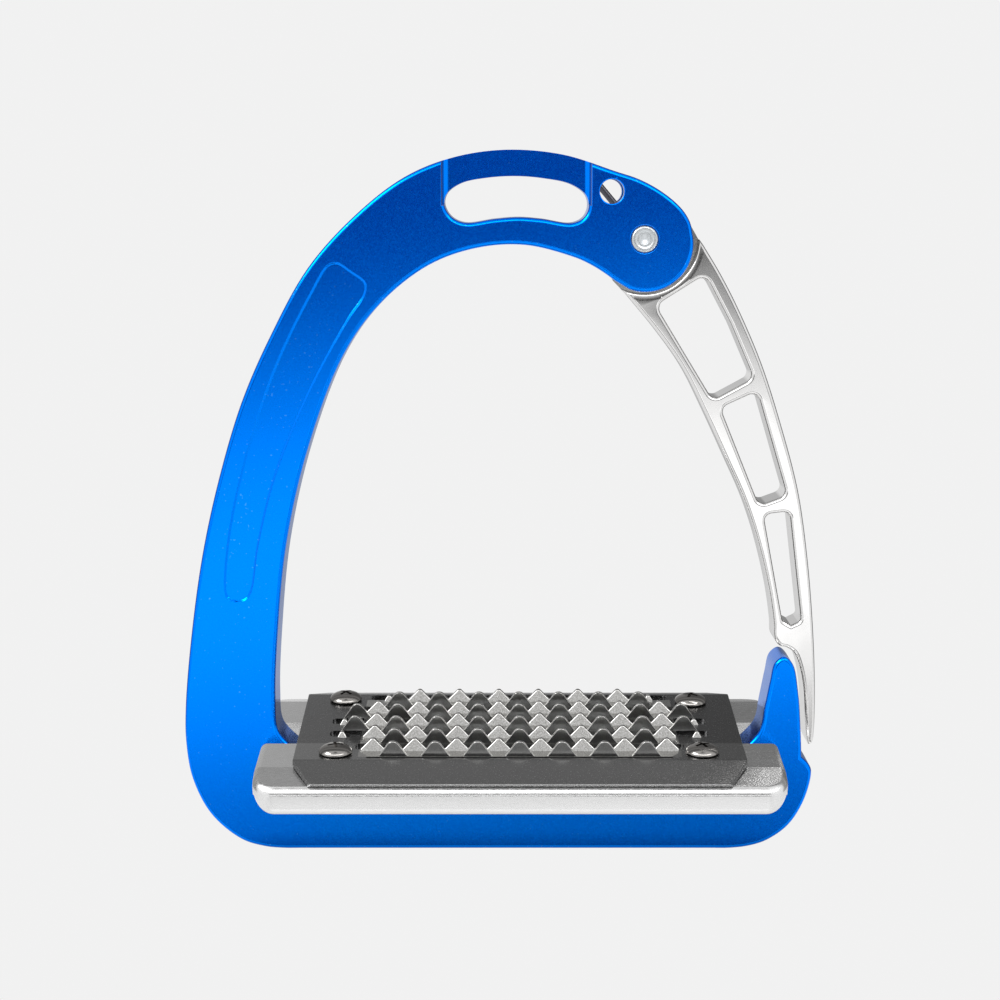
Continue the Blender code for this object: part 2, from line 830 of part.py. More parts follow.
def plate_slots():
    """The gaps that the teeth were cut from: (near edge, far edge, half length)."""
    first = ROW_CENTRE - 2 * ROW_PITCH - STRIP_HALF
    last = ROW_CENTRE + 2 * ROW_PITCH + STRIP_HALF
    slots = [(first - 1.1, first, 37.5), (last, last + 3.6, 38.5)]
    for row in range(4):
        start = ROW_CENTRE + ROW_PITCH * (row - 2) + STRIP_HALF
        half_length = 47.4 if row in (1, 2) else 40.5
        slots.append((start, start + ROW_PITCH - 2 * STRIP_HALF, half_length))
    return slots


def make_plate():
    plate = place(prism("grip_plate", [plate_section()], PLATE_HALF_X * 2), TREAD @ ENDWISE)
    beyond = FLANGE_Y + 2.0
    for number, (sx, sy) in enumerate(((-1, -1), (1, -1), (-1, 1), (1, 1))):
        corner = [
            (sx * PLATE_HALF_X, sy * PLATE_FOLD_Y),
            (sx * (PLATE_HALF_X + CLEAR), sy * PLATE_FOLD_Y),
            (sx * (PLATE_HALF_X + CLEAR), sy * beyond),
            (sx * (PLATE_HALF_X - FLANGE_TAPER), sy * beyond),
        ]
        tool = prism("flange_corner_%d" % (number + 1), [corner], 16.0, collection=cutters)
        cut(plate, place(tool, TREAD @ FLAT))
    for number, (near, far, half) in enumerate(plate_slots()):
        loop = [(-half, near), (half, near), (half, far), (-half, far)]
        radius = min((far - near) / 2 - 0.05, 1.2)
        tool = prism("plate_slot_%d" % (number + 1), [rounded(loop, radius, 2)], 12.0, collection=cutters)
        cut(plate, place(tool, TREAD @ FLAT))
    for i, (x, y) in enumerate(PLATE_SCREWS):
        hole = rod("plate_hole_%d" % (i + 1), PLATE_SCREW_R + GAP, -1, 4, 24)
        cut(plate, place(hole, TREAD @ at(x, y) @ UPRIGHT))
    cut(plate, place(make_teeth(), TREAD), "UNION")
    finish(plate, "satin_steel_plate", SATIN, 1.0, 0.35)


# ---------------------------------------------------------------- screws
def make_plate_screw(number, x, y):
    name = "plate_screw_%d" % number
    seat = PLATE_TOP + 0.2
    screw = turned(
        name,
        [
            (0, seat + HEAD_H),
            (HEAD_R * 0.28, seat + HEAD_H * 0.96),
            (HEAD_R * 0.60, seat + HEAD_H * 0.79),
            (HEAD_R * 0.86, seat + HEAD_H * 0.45),
            (HEAD_R, seat + HEAD_H * 0.17),
            (HEAD_R - 0.2, seat),
            (PLATE_SCREW_R, seat),
            (PLATE_SCREW_R, PLATE_SCREW_END),
            (0, PLATE_SCREW_END),
        ],
        28,
    )
    stand = TREAD @ at(x, y)
    place(screw, stand @ UPRIGHT)
    a, b = 1.9, 0.38
    quarter = [(a, b), (b, b), (b, a), (-b, a), (-b, b), (-a, b)]
    plus = quarter + [(-px, -py) for px, py in quarter]
    recess = prism(name + "_recess", [plus], 3.4, collection=cutters)
    turn = Matrix.Rotation(math.radians(20 * number - 10), 4, "Z")
    cut(screw, place(recess, stand @ turn @ at(0, 0, seat + 2.5) @ FLAT))
    finish(screw, "screw_%d_steel" % number, STEEL, 1.0, 0.15)


def make_base_screw(side, sign):
    floor = -POCKET[2] + 0.2
    screw = turned(
        "base_screw_" + side,
        [
            (0, floor + 0.6),
            (1.3, floor + 0.6),
            (1.5, floor + 1.3),
            (BASE_SCREW_HEAD_R, floor + 1.3),
            (BASE_SCREW_HEAD_R, floor),
            (BASE_SCREW_R, floor),
            (BASE_SCREW_R, BASE_SCREW_END),
            (0, BASE_SCREW_END),
        ],
        24,
    )
    place(screw, TREAD @ at(sign * BASE_SCREW_X) @ UPRIGHT)
    finish(screw, "base_screw_%s_steel" % side, STEEL, 1.0, 0.2)


make_frame()
make_arm()
make_pivot()
make_spring()
make_base()
make_plate()
for index, (screw_x, screw_y) in enumerate(PLATE_SCREWS):
    make_plate_screw(index + 1, screw_x, screw_y)
make_base_screw("left", -1)
make_base_screw("right", 1)
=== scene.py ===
"""Looks of the release-arm stirrup iron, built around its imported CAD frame.

X runs across the tread, Y from the front face to the back, Z up. Sizes in the helpers are
millimetres; the finished pieces are in metres, in the CAD's own row frame.
"""

import math

import bmesh
import bpy
from mathutils import Matrix, Vector


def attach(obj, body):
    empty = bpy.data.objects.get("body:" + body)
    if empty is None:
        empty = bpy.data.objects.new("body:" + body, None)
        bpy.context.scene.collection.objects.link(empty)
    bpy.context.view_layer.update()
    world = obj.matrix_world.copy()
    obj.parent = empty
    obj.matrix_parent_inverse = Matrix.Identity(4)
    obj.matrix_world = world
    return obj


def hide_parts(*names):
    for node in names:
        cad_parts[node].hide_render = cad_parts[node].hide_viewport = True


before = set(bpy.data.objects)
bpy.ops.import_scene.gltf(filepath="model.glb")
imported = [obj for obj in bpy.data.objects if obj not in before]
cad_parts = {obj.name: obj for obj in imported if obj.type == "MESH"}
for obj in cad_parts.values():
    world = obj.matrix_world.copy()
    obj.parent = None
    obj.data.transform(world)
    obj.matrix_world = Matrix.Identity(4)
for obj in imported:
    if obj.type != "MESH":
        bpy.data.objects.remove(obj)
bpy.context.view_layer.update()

MM = 0.001

# ---------------------------------------------------------------- dimensions (mm)
FRAME_DEPTH = 14.0
FRAME_EDGE = 1.0
BAR_TOP = 23.4
BAR_RECESS = 2.3
PANEL_DEPTH = 0.5

ARM_DEPTH = 12.0
ARM_EDGE = 0.9
SEAT_R = 13.4
SEAT_DISH_R = 17.65

PIVOT = (29.7, 152.5)
BOSS_CENTRE = (30.0, 151.3)
BOSS_R = 11.6
CHEEK_SLOT = 7.2
HUB_T = 4.8
DRUM_R = 9.0
SIGHT_HOLE = (21.7, 164.0)
SIGHT_HOLE_R = 2.95

PIN_R = 2.4
PIN_HEAD_R = 3.17
PIN_HEAD_T = 1.1
PIN_TAIL_R = 1.6
BUSH_R = 3.7

WIRE_R = 0.85
COIL_R = 10.25
COIL_Y = -1.3
LEG_ANGLE = 130.0
LEG_END = 18.7
HOOK_ANGLE = 150.0
HOOK_END = 7.4

TREAD_X = -0.55
TREAD_Z = 28.15
TREAD_TILT = math.radians(6.5)
BASE_HALF_X = 64.7
BASE_HALF_Y = 32.5
BASE_FLAT_Y = 23.6
BASE_DROP = 2.3
BASE_BOTTOM = -9.2
BASE_CORNER = 5.5
NOTCH_X = 50.2
POCKET = (39.0, 22.6, 2.0)

PLATE_HALF_X = 55.2
PLATE_TOP = 2.0
PLATE_T = 1.5
PLATE_FOLD_Y = 23.8
FLANGE_Y = 33.2
FLANGE_Z = -0.9
FLANGE_TAPER = 6.2
EDGE_GRIND = 1.3

ROW_PITCH = 8.97
ROW_CENTRE = -1.35
STRIP_HALF = 2.45
TOOTH_PITCH = 10.3
TOOTH_T = 1.1
FRONT_TOOTH = (3.6, 4.0)
FRONT_LEAN = math.radians(10)
BACK_TOOTH = (3.0, 2.85)
BACK_LEAN = math.radians(22)
END_TOOTH = (1.15, 1.5)
END_TEETH = ((-44.2, 1), (44.2, 1), (-44.2, 2), (44.2, 2), (-33.8, 4), (33.8, 4))

BARE_HALF_X = 39.5
WORN_FRONT_Y = -12.5

PLATE_SCREWS = ((-45.1, -19.0), (44.7, -19.0), (-45.1, 19.2), (44.7, 17.4))
PLATE_SCREW_R = 1.95
PLATE_SCREW_END = -6.8
HEAD_R = 4.15
HEAD_H = 2.1
BASE_SCREW_X = 30.0
BASE_SCREW_R = 2.0
BASE_SCREW_END = -15.5

FRONT = -FRAME_DEPTH / 2
BACK = FRAME_DEPTH / 2
CLEAR = 5.0

tools = bpy.data.collections.new("tools")
bpy.context.scene.collection.children.link(tools)


# ---------------------------------------------------------------- outlines
def spline(points, steps=8):
    """Points along an open centripetal spline through the given ones, ends included."""
    pts = [Vector(p) for p in points]
    pts = [pts[0] * 2 - pts[1]] + pts + [pts[-1] * 2 - pts[-2]]
    out = []
    for p0, p1, p2, p3 in zip(pts, pts[1:], pts[2:], pts[3:]):
        t0 = 0.0
        t1 = t0 + math.sqrt((p1 - p0).length)
        t2 = t1 + math.sqrt((p2 - p1).length)
        t3 = t2 + math.sqrt((p3 - p2).length)
        for s in range(steps):
            t = t1 + (t2 - t1) * s / steps
            a1 = p0.lerp(p1, (t - t0) / (t1 - t0))
            a2 = p1.lerp(p2, (t - t1) / (t2 - t1))
            a3 = p2.lerp(p3, (t - t2) / (t3 - t2))
            b1 = a1.lerp(a2, (t - t0) / (t2 - t0))
            b2 = a2.lerp(a3, (t - t1) / (t3 - t1))
            out.append(tuple(b1.lerp(b2, (t - t1) / (t2 - t1))))
    out.append(tuple(pts[-2]))
    return out


def closed_spline(points, steps=8):
    count = len(points)
    wrapped = [points[(i - 2) % count] for i in range(count + 5)]
    return spline(wrapped, steps)[2 * steps : (count + 2) * steps]


def arc(centre, radius, start, stop, count):
    angles = [math.radians(start + (stop - start) * i / count) for i in range(count + 1)]
    return [(centre[0] + radius * math.cos(a), centre[1] + radius * math.sin(a)) for a in angles]


def corner_arc(before, point, after, radius, count):
    a = (Vector(before) - point).normalized()
    b = (Vector(after) - point).normalized()
    half = a.angle(b) / 2
    centre = point + (a + b).normalized() * (radius / math.sin(half))
    start = point + a * (radius / math.tan(half)) - centre
    stop = point + b * (radius / math.tan(half)) - centre
    turn = -start.angle_signed(stop)
    return [centre + Matrix.Rotation(turn * k / count, 2) @ start for k in range(count + 1)]


def rounded(points, radii, count=8):
    """Closed polygon with rounded corners; a radius of zero leaves a corner as it is."""
    if not isinstance(radii, (list, tuple)):
        radii = [radii] * len(points)
    out = []
    for i, radius in enumerate(radii):
        point = Vector(points[i])
        if radius > 0:
            after = points[(i + 1) % len(points)]
            out += [tuple(p) for p in corner_arc(points[i - 1], point, after, radius, count)]
        else:
            out.append(tuple(point))
    return out


def grown(outline, offset):
    """The closed outline moved outwards by offset, whichever way round it runs."""
    count = len(outline)
    area = sum(
        outline[i - 1][0] * outline[i][1] - outline[i][0] * outline[i - 1][1] for i in range(count)
    )
    side = offset if area > 0 else -offset
    out = []
    for i in range(count):
        before = Vector(outline[i]) - Vector(outline[i - 1])
        after = Vector(outline[(i + 1) % count]) - Vector(outline[i])
        n1 = Vector((before.y, -before.x)).normalized()
        n2 = Vector((after.y, -after.x)).normalized()
        middle = (n1 + n2).normalized()
        reach = side / max(middle.dot(n1), 0.5)
        out.append(tuple(Vector(outline[i]) + middle * reach))
    return out


# ---------------------------------------------------------------- solids
def add(name, data, collection=None):
    obj = bpy.data.objects.new(name, data)
    (collection or bpy.context.scene.collection).objects.link(obj)
    return obj


def from_bmesh(name, bm, collection=None):
    mesh = bpy.data.meshes.new(name)
    bmesh.ops.recalc_face_normals(bm, faces=bm.faces)
    bm.to_mesh(mesh)
    bm.free()
    return add(name, mesh, collection)


def merge_caps(mesh):
    """Make each of the two flat faces, front and back, as few faces as it can be."""
    bm = bmesh.new()
    bm.from_mesh(mesh)
    ends = (min(v.co.y for v in bm.verts), max(v.co.y for v in bm.verts))
    for end in ends:
        flat = {f for f in bm.faces if all(abs(v.co.y - end) < 1e-7 for v in f.verts)}
        inner = [e for e in bm.edges if len(e.link_faces) == 2 and flat.issuperset(e.link_faces)]
        for face in flat:
            for vertex in face.verts:
                vertex.co.y = end
        bmesh.ops.dissolve_limit(bm, angle_limit=0.001, edges=inner, verts=[])
    bm.to_mesh(mesh)
    bm.free()


def outline_mesh(name, loops, thickness, edge=0.0, segments=4):
    """Flat outline in X and Z, extruded evenly along Y, with rims rounded to radius edge."""
    curve = bpy.data.curves.new(name, "CURVE")
    curve.dimensions = "2D"
    curve.fill_mode = "BOTH"
    curve.extrude = (thickness / 2 - edge) * MM
    curve.bevel_depth = edge * MM
    curve.bevel_resolution = segments - 1
    curve.offset = -edge * MM
    for loop in loops:
        line = curve.splines.new("POLY")
        line.points.add(len(loop) - 1)
        line.use_cyclic_u = True
        for point, (x, z) in zip(line.points, loop):
            point.co = (x * MM, z * MM, 0.0, 1.0)
    holder = add(name + "_curve", curve)
    evaluated = holder.evaluated_get(bpy.context.evaluated_depsgraph_get())
    mesh = bpy.data.meshes.new_from_object(evaluated)
    mesh.name = name
    bpy.data.objects.remove(holder, do_unlink=True)
    bpy.data.curves.remove(curve)
    bm = bmesh.new()
    bm.from_mesh(mesh)
    bmesh.ops.remove_doubles(bm, verts=bm.verts, dist=0.000005)
    bmesh.ops.recalc_face_normals(bm, faces=bm.faces)
    bm.to_mesh(mesh)
    bm.free()
    for vertex in mesh.vertices:
        x, z, y = vertex.co
        vertex.co = (x, -y, z)
    merge_caps(mesh)
    return mesh


def prism(name, loops, thickness, edge=0.0, segments=4, collection=None):
    return add(name, outline_mesh(name, loops, thickness, edge, segments), collection)


def stack(name, outline, levels, collection=tools):
    """Solid through one outline at several levels of Y, grown by an amount at each: (y, growth)."""
    bm = bmesh.new()
    rings = []
    for y, growth in levels:
        loop = grown(outline, growth) if growth else outline
        rings.append([bm.verts.new((x * MM, y * MM, z * MM)) for x, z in loop])
    count = len(outline)
    for low, high in zip(rings, rings[1:]):
        for i in range(count):
            bm.faces.new((low[i - 1], low[i], high[i], high[i - 1]))
    bm.faces.new(rings[0])
    bm.faces.new(rings[-1])
    return from_bmesh(name, bm, collection)


def rim(surface, inward, radius, steps=4):
    """Levels of a tool that leaves a rounded rim where it breaks through a flat face."""
    out = [(surface - inward * CLEAR, radius), (surface, radius)]
    for k in range(1, steps + 1):
        t = math.pi / 2 * (1 - k / steps)
        out.append((surface + inward * radius * (1 - math.sin(t)), radius * (1 - math.cos(t))))
    return out


def floor_fillet(surface, inward, depth, radius, steps=4):
    """Levels of a tool that leaves a rounded corner round the floor of a recess."""
    out = []
    for k in range(steps + 1):
        t = math.pi / 2 * k / steps
        level = surface + inward * (depth - radius + radius * math.sin(t))
        out.append((level, -radius * (1 - math.cos(t))))
    return out


def turned(name, profile, segments=64, collection=None):
    """Turned about the object's Y axis from a profile of (radius, y) points."""
    bm = bmesh.new()
    ring = profile[0][0] > 0
    rows = []
    for r, y in profile:
        if r <= 0:
            rows.append([bm.verts.new((0, y * MM, 0))])
            continue
        row = []
        for k in range(segments):
            a = math.tau * k / segments
            row.append(bm.verts.new((r * MM * math.cos(a), y * MM, r * MM * math.sin(a))))
        rows.append(row)
    pairs = list(zip(rows, rows[1:]))
    if ring:
        pairs.append((rows[-1], rows[0]))
    for a, b in pairs:
        for k in range(segments):
            quad = [a[k % len(a)], a[(k + 1) % len(a)], b[(k + 1) % len(b)], b[k % len(b)]]
            face = []
            for vertex in quad:
                if vertex not in face:
                    face.append(vertex)
            if len(face) > 2:
                bm.faces.new(face)
    return from_bmesh(name, bm, collection)


def rod(name, radius, y0, y1, segments=64, collection=tools):
    return turned(name, [(0, y1), (radius, y1), (radius, y0), (0, y0)], segments, collection)


def box(name, low, high, collection=tools):
    bm = bmesh.new()
    size = (Vector(high) - Vector(low)) * MM
    middle = (Vector(high) + Vector(low)) / 2 * MM
    matrix = Matrix.Translation(middle) @ Matrix.Diagonal((*size, 1))
    bmesh.ops.create_cube(bm, size=1.0, matrix=matrix)
    return from_bmesh(name, bm, collection)


def at(x=0.0, y=0.0, z=0.0):
    return Matrix.Translation((x * MM, y * MM, z * MM))


def place(obj, matrix):
    """Move the mesh itself, so that the object stays at the row frame's origin."""
    obj.data.transform(matrix)
    if matrix.determinant() < 0:
        obj.data.flip_normals()
    return obj


def cut(target, tool, operation="DIFFERENCE", solver="EXACT"):
    """Add a boolean modifier; the mesh itself changes in bake."""
    modifier = target.modifiers.new(tool.name, "BOOLEAN")
    modifier.operation = operation
    modifier.solver = solver
    modifier.object = tool


def bake(obj):
    """Apply the object's modifiers to its mesh."""
    bpy.context.view_layer.update()
    evaluated = obj.evaluated_get(bpy.context.evaluated_depsgraph_get())
    mesh = bpy.data.meshes.new_from_object(evaluated)
    mesh.name = obj.name
    obj.modifiers.clear()
    obj.data = mesh
    return obj


def drop_slivers(obj):
    """Take out edges and faces under a micrometre across, which a cut can leave behind."""
    bm = bmesh.new()
    bm.from_mesh(obj.data)
    bmesh.ops.dissolve_degenerate(bm, edges=bm.edges, dist=0.001 * MM)
    bm.to_mesh(obj.data)
    bm.free()
    return obj


def smooth(obj, angle=35.0):
    obj.data.shade_smooth()
    obj.data.set_sharp_from_angle(angle=math.radians(angle))
    weighted = obj.modifiers.new("even_shading", "WEIGHTED_NORMAL")
    weighted.weight = 100
    weighted.keep_sharp = True
    return obj


HINGE = at(PIVOT[0], 0, PIVOT[1])
UPRIGHT = Matrix.Rotation(math.pi / 2, 4, "X")
FLAT = Matrix.Rotation(-math.pi / 2, 4, "X")
ENDWISE = Matrix.Rotation(math.pi / 2, 4, "Z")
TREAD = at(TREAD_X, 0, TREAD_Z) @ Matrix.Rotation(TREAD_TILT, 4, "X")


def radial(angle):
    """Frame whose Y axis points away from the pivot at an angle, in the spring's plane."""
    turn = Matrix.Rotation(math.pi / 2 - math.radians(angle), 4, "Y")
    return at(PIVOT[0], COIL_Y, PIVOT[1]) @ turn @ UPRIGHT


# ---------------------------------------------------------------- frame
def frame_outline():
    left_side = spline(
        [
            (22.9, 168.7),
            (10.0, 172.8),
            (-4.0, 174.0),
            (-17.0, 172.1),
            (-28.6, 167.4),
            (-40.5, 158.3),
            (-52.1, 145.6),
            (-61.6, 128.8),
            (-68.8, 112.7),
            (-74.7, 93.7),
            (-79.1, 74.7),
            (-82.3, 53.6),
            (-84.0, 35.8),
            (-84.0, 27.0),
            (-82.5, 17.9),
            (-78.0, 8.8),
            (-70.6, 2.4),
            (-64.8, 0.5),
            (-60.0, 0.02),
            (-55.0, 0.0),
        ]
    )
    lower_right = spline(
        [
            (47.5, 0.0),
            (52.5, 0.02),
            (57.3, 0.6),
            (61.8, 2.1),
            (67.2, 6.1),
            (71.1, 12.7),
            (72.7, 20.0),
            (71.9, 21.9),
            (70.2, 23.6),
        ],
        6,
    )
    horn = spline(
        [
            (70.2, 23.6),
            (69.9, 30.0),
            (69.1, 40.0),
            (67.6, 47.3),
            (65.4, 49.2),
            (63.1, 47.6),
            (62.0, 43.0),
            (60.7, 36.2),
            (59.6, 30.5),
            (57.0, 27.2),
            (53.6, 24.5),
            (50.0, BAR_TOP),
            (47.5, BAR_TOP),
        ],
        6,
    )
    inside = spline(
        [
            (-48.0, BAR_TOP),
            (-50.5, BAR_TOP),
            (-54.8, 24.5),
            (-58.4, 27.2),
            (-60.9, 30.5),
            (-61.5, 38.0),
            (-60.8, 53.6),
            (-58.3, 77.2),
            (-52.6, 101.4),
            (-43.6, 124.5),
            (-34.6, 136.9),
            (-22.8, 146.2),
            (-11.0, 150.4),
            (0.8, 151.1),
            (12.5, 148.2),
            (16.2, 146.6),
            (19.3, 144.8),
            (22.7, 142.4),
        ]
    )
    boss = arc(BOSS_CENTRE, BOSS_R, -110.0, 10.0, 48)
    crown = spline(
        [boss[-1], (40.8, 156.3), (39.3, 159.0), (36.6, 161.8), (32.4, 164.8), (27.8, 167.1), (22.9, 168.7)],
        8,
    )
    return left_side + lower_right + horn[1:] + inside + boss + crown[1:-1]


def leather_slot_outline():
    return closed_spline(
        [
            (-18.9, 161.0),
            (-17.3, 158.0),
            (-14.0, 156.5),
            (-6.6, 157.4),
            (-1.0, 157.8),
            (4.6, 157.4),
            (12.0, 156.4),
            (14.9, 157.7),
            (16.1, 160.3),
            (15.4, 163.2),
            (11.7, 165.8),
            (5.0, 167.2),
            (-1.5, 167.7),
            (-8.5, 167.3),
            (-14.8, 166.0),
            (-18.2, 163.6),
        ]
    )


def panel_outline():
    return closed_spline(
        [
            (-47.3, 146.2),
            (-51.2, 140.0),
            (-59.9, 122.6),
            (-67.0, 102.6),
            (-72.1, 81.7),
            (-73.6, 66.3),
            (-73.0, 64.2),
            (-70.8, 63.2),
            (-68.4, 63.8),
            (-67.0, 66.0),
            (-65.2, 77.2),
            (-60.6, 95.0),
            (-51.9, 115.8),
            (-42.3, 133.2),
            (-38.3, 139.2),
            (-38.2, 142.0),
            (-41.6, 144.7),
            (-45.0, 146.8),
        ],
        6,
    )


def cheek_slot_outline():
    outline = [(70.0, 125.0), (70.0, 166.4), (24.6, 166.4)]
    outline += arc(SIGHT_HOLE, SIGHT_HOLE_R + 0.45, 52.0, 180.0, 16)
    return outline + [(18.1, 160.5), (17.7, 157.0), (17.7, 125.0)]


def round_leather_bar(body):
    """Round the long edges of the thinned bar that the leather runs over."""
    bm = bmesh.new()
    bm.from_mesh(body.data)
    bmesh.ops.remove_doubles(bm, verts=bm.verts, dist=0.000002)
    level = (FRAME_DEPTH / 2 - BAR_RECESS) * MM
    edges = []
    for edge in bm.edges:
        a, b = (v.co for v in edge.verts)
        flat = all(abs(abs(co.y) - level) < 1e-6 for co in (a, b)) and a.y * b.y > 0
        inside = all(-17.2 * MM < co.x < 14.4 * MM and co.z > 160 * MM for co in (a, b))
        if flat and inside and len(edge.link_faces) == 2 and edge.calc_face_angle() > 0.6:
            edges.append(edge)
    rounding = {"offset": 1.6 * MM, "segments": 6, "profile": 0.5, "clamp_overlap": True}
    bmesh.ops.bevel(bm, geom=edges, affect="EDGES", **rounding)
    bm.to_mesh(body.data)
    bm.free()


def make_frame():
    loops = [frame_outline(), leather_slot_outline()]
    body = prism("anodised_frame", loops, FRAME_DEPTH, FRAME_EDGE, 5)

    levels = [(FRONT - CLEAR, 0.2), (FRONT, 0.2), (FRONT + 0.06, 0.08), (FRONT + 0.16, 0.0)]
    levels += [(FRONT + PANEL_DEPTH - 0.06, -0.3), (FRONT + PANEL_DEPTH, -0.42)]
    cut(body, stack("panel_recess", panel_outline(), levels))

    around = [(-19.6, 160.6), (16.8, 160.6), (16.8, 184.0), (-19.6, 184.0)]
    for side, surface, inward in (("front", FRONT, 1), ("back", BACK, -1)):
        levels = rim(surface, inward, 0.25, 3)[:-1]
        levels += floor_fillet(surface, inward, BAR_RECESS, BAR_RECESS - 0.25, 8)
        cut(body, stack("bar_recess_" + side, around, levels))

    head_seat = PIN_HEAD_R + 0.3
    bore = PIN_R + 0.3
    step = BACK - PIN_HEAD_T - 0.3
    half = [(head_seat + 0.2, BACK + CLEAR), (head_seat + 0.2, BACK), (head_seat + 0.06, BACK - 0.06)]
    half += [(head_seat, BACK - 0.2), (head_seat, step), (bore, step)]
    profile = [(0, BACK + CLEAR)] + half + [(r, -y) for r, y in reversed(half)] + [(0, FRONT - CLEAR)]
    cut(body, place(turned("pivot_bore", profile, 64, tools), HINGE))

    radius = SIGHT_HOLE_R
    half = [(radius + 0.3, BACK + CLEAR), (radius + 0.3, BACK), (radius + 0.15, BACK - 0.04)]
    half += [(radius + 0.04, BACK - 0.15), (radius, BACK - 0.3)]
    profile = [(0, BACK + CLEAR)] + half + [(r, -y) for r, y in reversed(half)] + [(0, FRONT - CLEAR)]
    cut(body, place(turned("sight_hole", profile, 64, tools), at(SIGHT_HOLE[0], 0, SIGHT_HOLE[1])))
    cut(body, prism("cheek_slot", [cheek_slot_outline()], CHEEK_SLOT, collection=tools))
    cut(body, place(rod("leg_bore", WIRE_R + 0.3, 15.5, LEG_END + 0.5, 24), radial(LEG_ANGLE)))
    bake(body)
    round_leather_bar(body)
    return smooth(body)


# ---------------------------------------------------------------- release arm
def arm_outline():
    outer = spline(
        [
            (44.1, 151.0),
            (48.1, 144.5),
            (52.6, 136.0),
            (58.6, 122.4),
            (63.6, 107.5),
            (68.2, 90.8),
            (70.9, 73.6),
            (72.6, 56.0),
            (73.4, 40.0),
            (73.3, 30.0),
            (72.9, 27.2),
            (72.0, 26.6),
            (71.4, 28.0),
        ],
        6,
    )
    inner = spline(
        [
            (71.4, 28.0),
            (71.0, 34.0),
            (70.5, 41.0),
            (69.4, 46.6),
            (68.0, 50.0),
            (66.2, 51.3),
            (64.4, 51.8),
            (63.1, 53.4),
            (62.8, 57.0),
            (61.4, 66.0),
            (58.2, 78.9),
            (54.8, 88.7),
            (50.4, 98.4),
            (44.9, 110.2),
            (39.5, 120.8),
            (33.6, 129.2),
            (25.6, 138.9),
        ],
        6,
    )
    tongue = [(22.3, 142.3), (20.6, 146.6)] + arc(PIVOT, DRUM_R, 194.0, 64.0, 32)
    tongue += [(37.2, 160.0), (40.8, 156.4), (43.1, 152.4)]
    return outer + inner[1:] + tongue


def arm_windows():
    upper = [(32.7, 136.4), (44.6, 143.9), (50.9, 132.0), (56.7, 118.7), (46.8, 113.3)]
    middle = [(48.8, 111.3), (57.7, 115.4), (65.4, 89.7), (58.6, 87.2)]
    lower = [(59.8, 84.8), (66.2, 85.6), (69.5, 58.2), (67.0, 57.0), (64.9, 58.2)]
    return [
        rounded(upper, [2.2, 2.2, 0, 2.0, 2.0]),
        rounded(middle, 2.0),
        rounded(lower, [1.8, 1.8, 1.2, 0, 1.2]),
    ]


def make_arm():
    arm = prism("polished_arm", [arm_outline()] + arm_windows(), ARM_DEPTH, ARM_EDGE, 5)
    hub_face = HUB_T / 2
    face = ARM_DEPTH / 2
    seat = [(0, face + 0.3), (SEAT_DISH_R, face + 0.3), (SEAT_R + 0.4, face - 0.12)]
    seat += [(SEAT_R + 0.2, face - 0.17), (SEAT_R + 0.06, face - 0.27), (SEAT_R, face - 0.42)]
    seat += [(SEAT_R, hub_face), (0, hub_face)]
    mirrored = [(r, -y) for r, y in reversed(seat)]
    bore = rod("hub_bore", BUSH_R + 0.3, -hub_face - 3, hub_face + 3)

    groove_out = COIL_R + WIRE_R + 0.4
    groove_in = DRUM_R - 0.1
    groove_floor = COIL_Y + WIRE_R + 0.35
    profile = [
        (groove_in, groove_floor),
        (groove_out, groove_floor),
        (groove_out, -hub_face - 2),
        (groove_in, -hub_face - 2),
    ]
    notch = rod("spring_hook_notch", WIRE_R + 0.35, HOOK_END - 0.5, DRUM_R + 1.5, 24)
    for tool, stand in (
        (turned("arm_seat_back", seat, 144, tools), HINGE),
        (turned("arm_seat_front", mirrored, 144, tools), HINGE),
        (bore, HINGE),
        (turned("spring_groove", profile, 96, tools), HINGE),
        (notch, radial(HOOK_ANGLE)),
    ):
        cut(arm, place(tool, stand), solver="MANIFOLD")
    drop_slivers(bake(arm))
    return smooth(arm)


# ---------------------------------------------------------------- pivot
def make_pin():
    profile = [
        (0, BACK + 0.1),
        (PIN_TAIL_R - 0.15, BACK + 0.1),
        (PIN_TAIL_R, BACK - 0.05),
        (PIN_TAIL_R, 5.3),
        (PIN_R, 5.3),
        (PIN_R, FRONT + PIN_HEAD_T),
        (PIN_HEAD_R, FRONT + PIN_HEAD_T),
        (PIN_HEAD_R, FRONT + 0.1),
        (3.12, FRONT - 0.1),
        (2.98, FRONT - 0.24),
        (2.8, FRONT - 0.3),
        (2.35, FRONT - 0.28),
        (2.1, FRONT - 0.22),
        (1.95, FRONT - 0.14),
        (1.8, FRONT - 0.1),
        (1.66, FRONT - 0.12),
        (1.5, FRONT - 0.15),
        (1.3, FRONT - 0.1),
        (0.9, FRONT),
        (0.5, FRONT + 0.12),
        (0.2, FRONT + 0.3),
        (0, FRONT + 0.35),
    ]
    return smooth(place(turned("pivot_rivet", profile, 96), HINGE), 50)


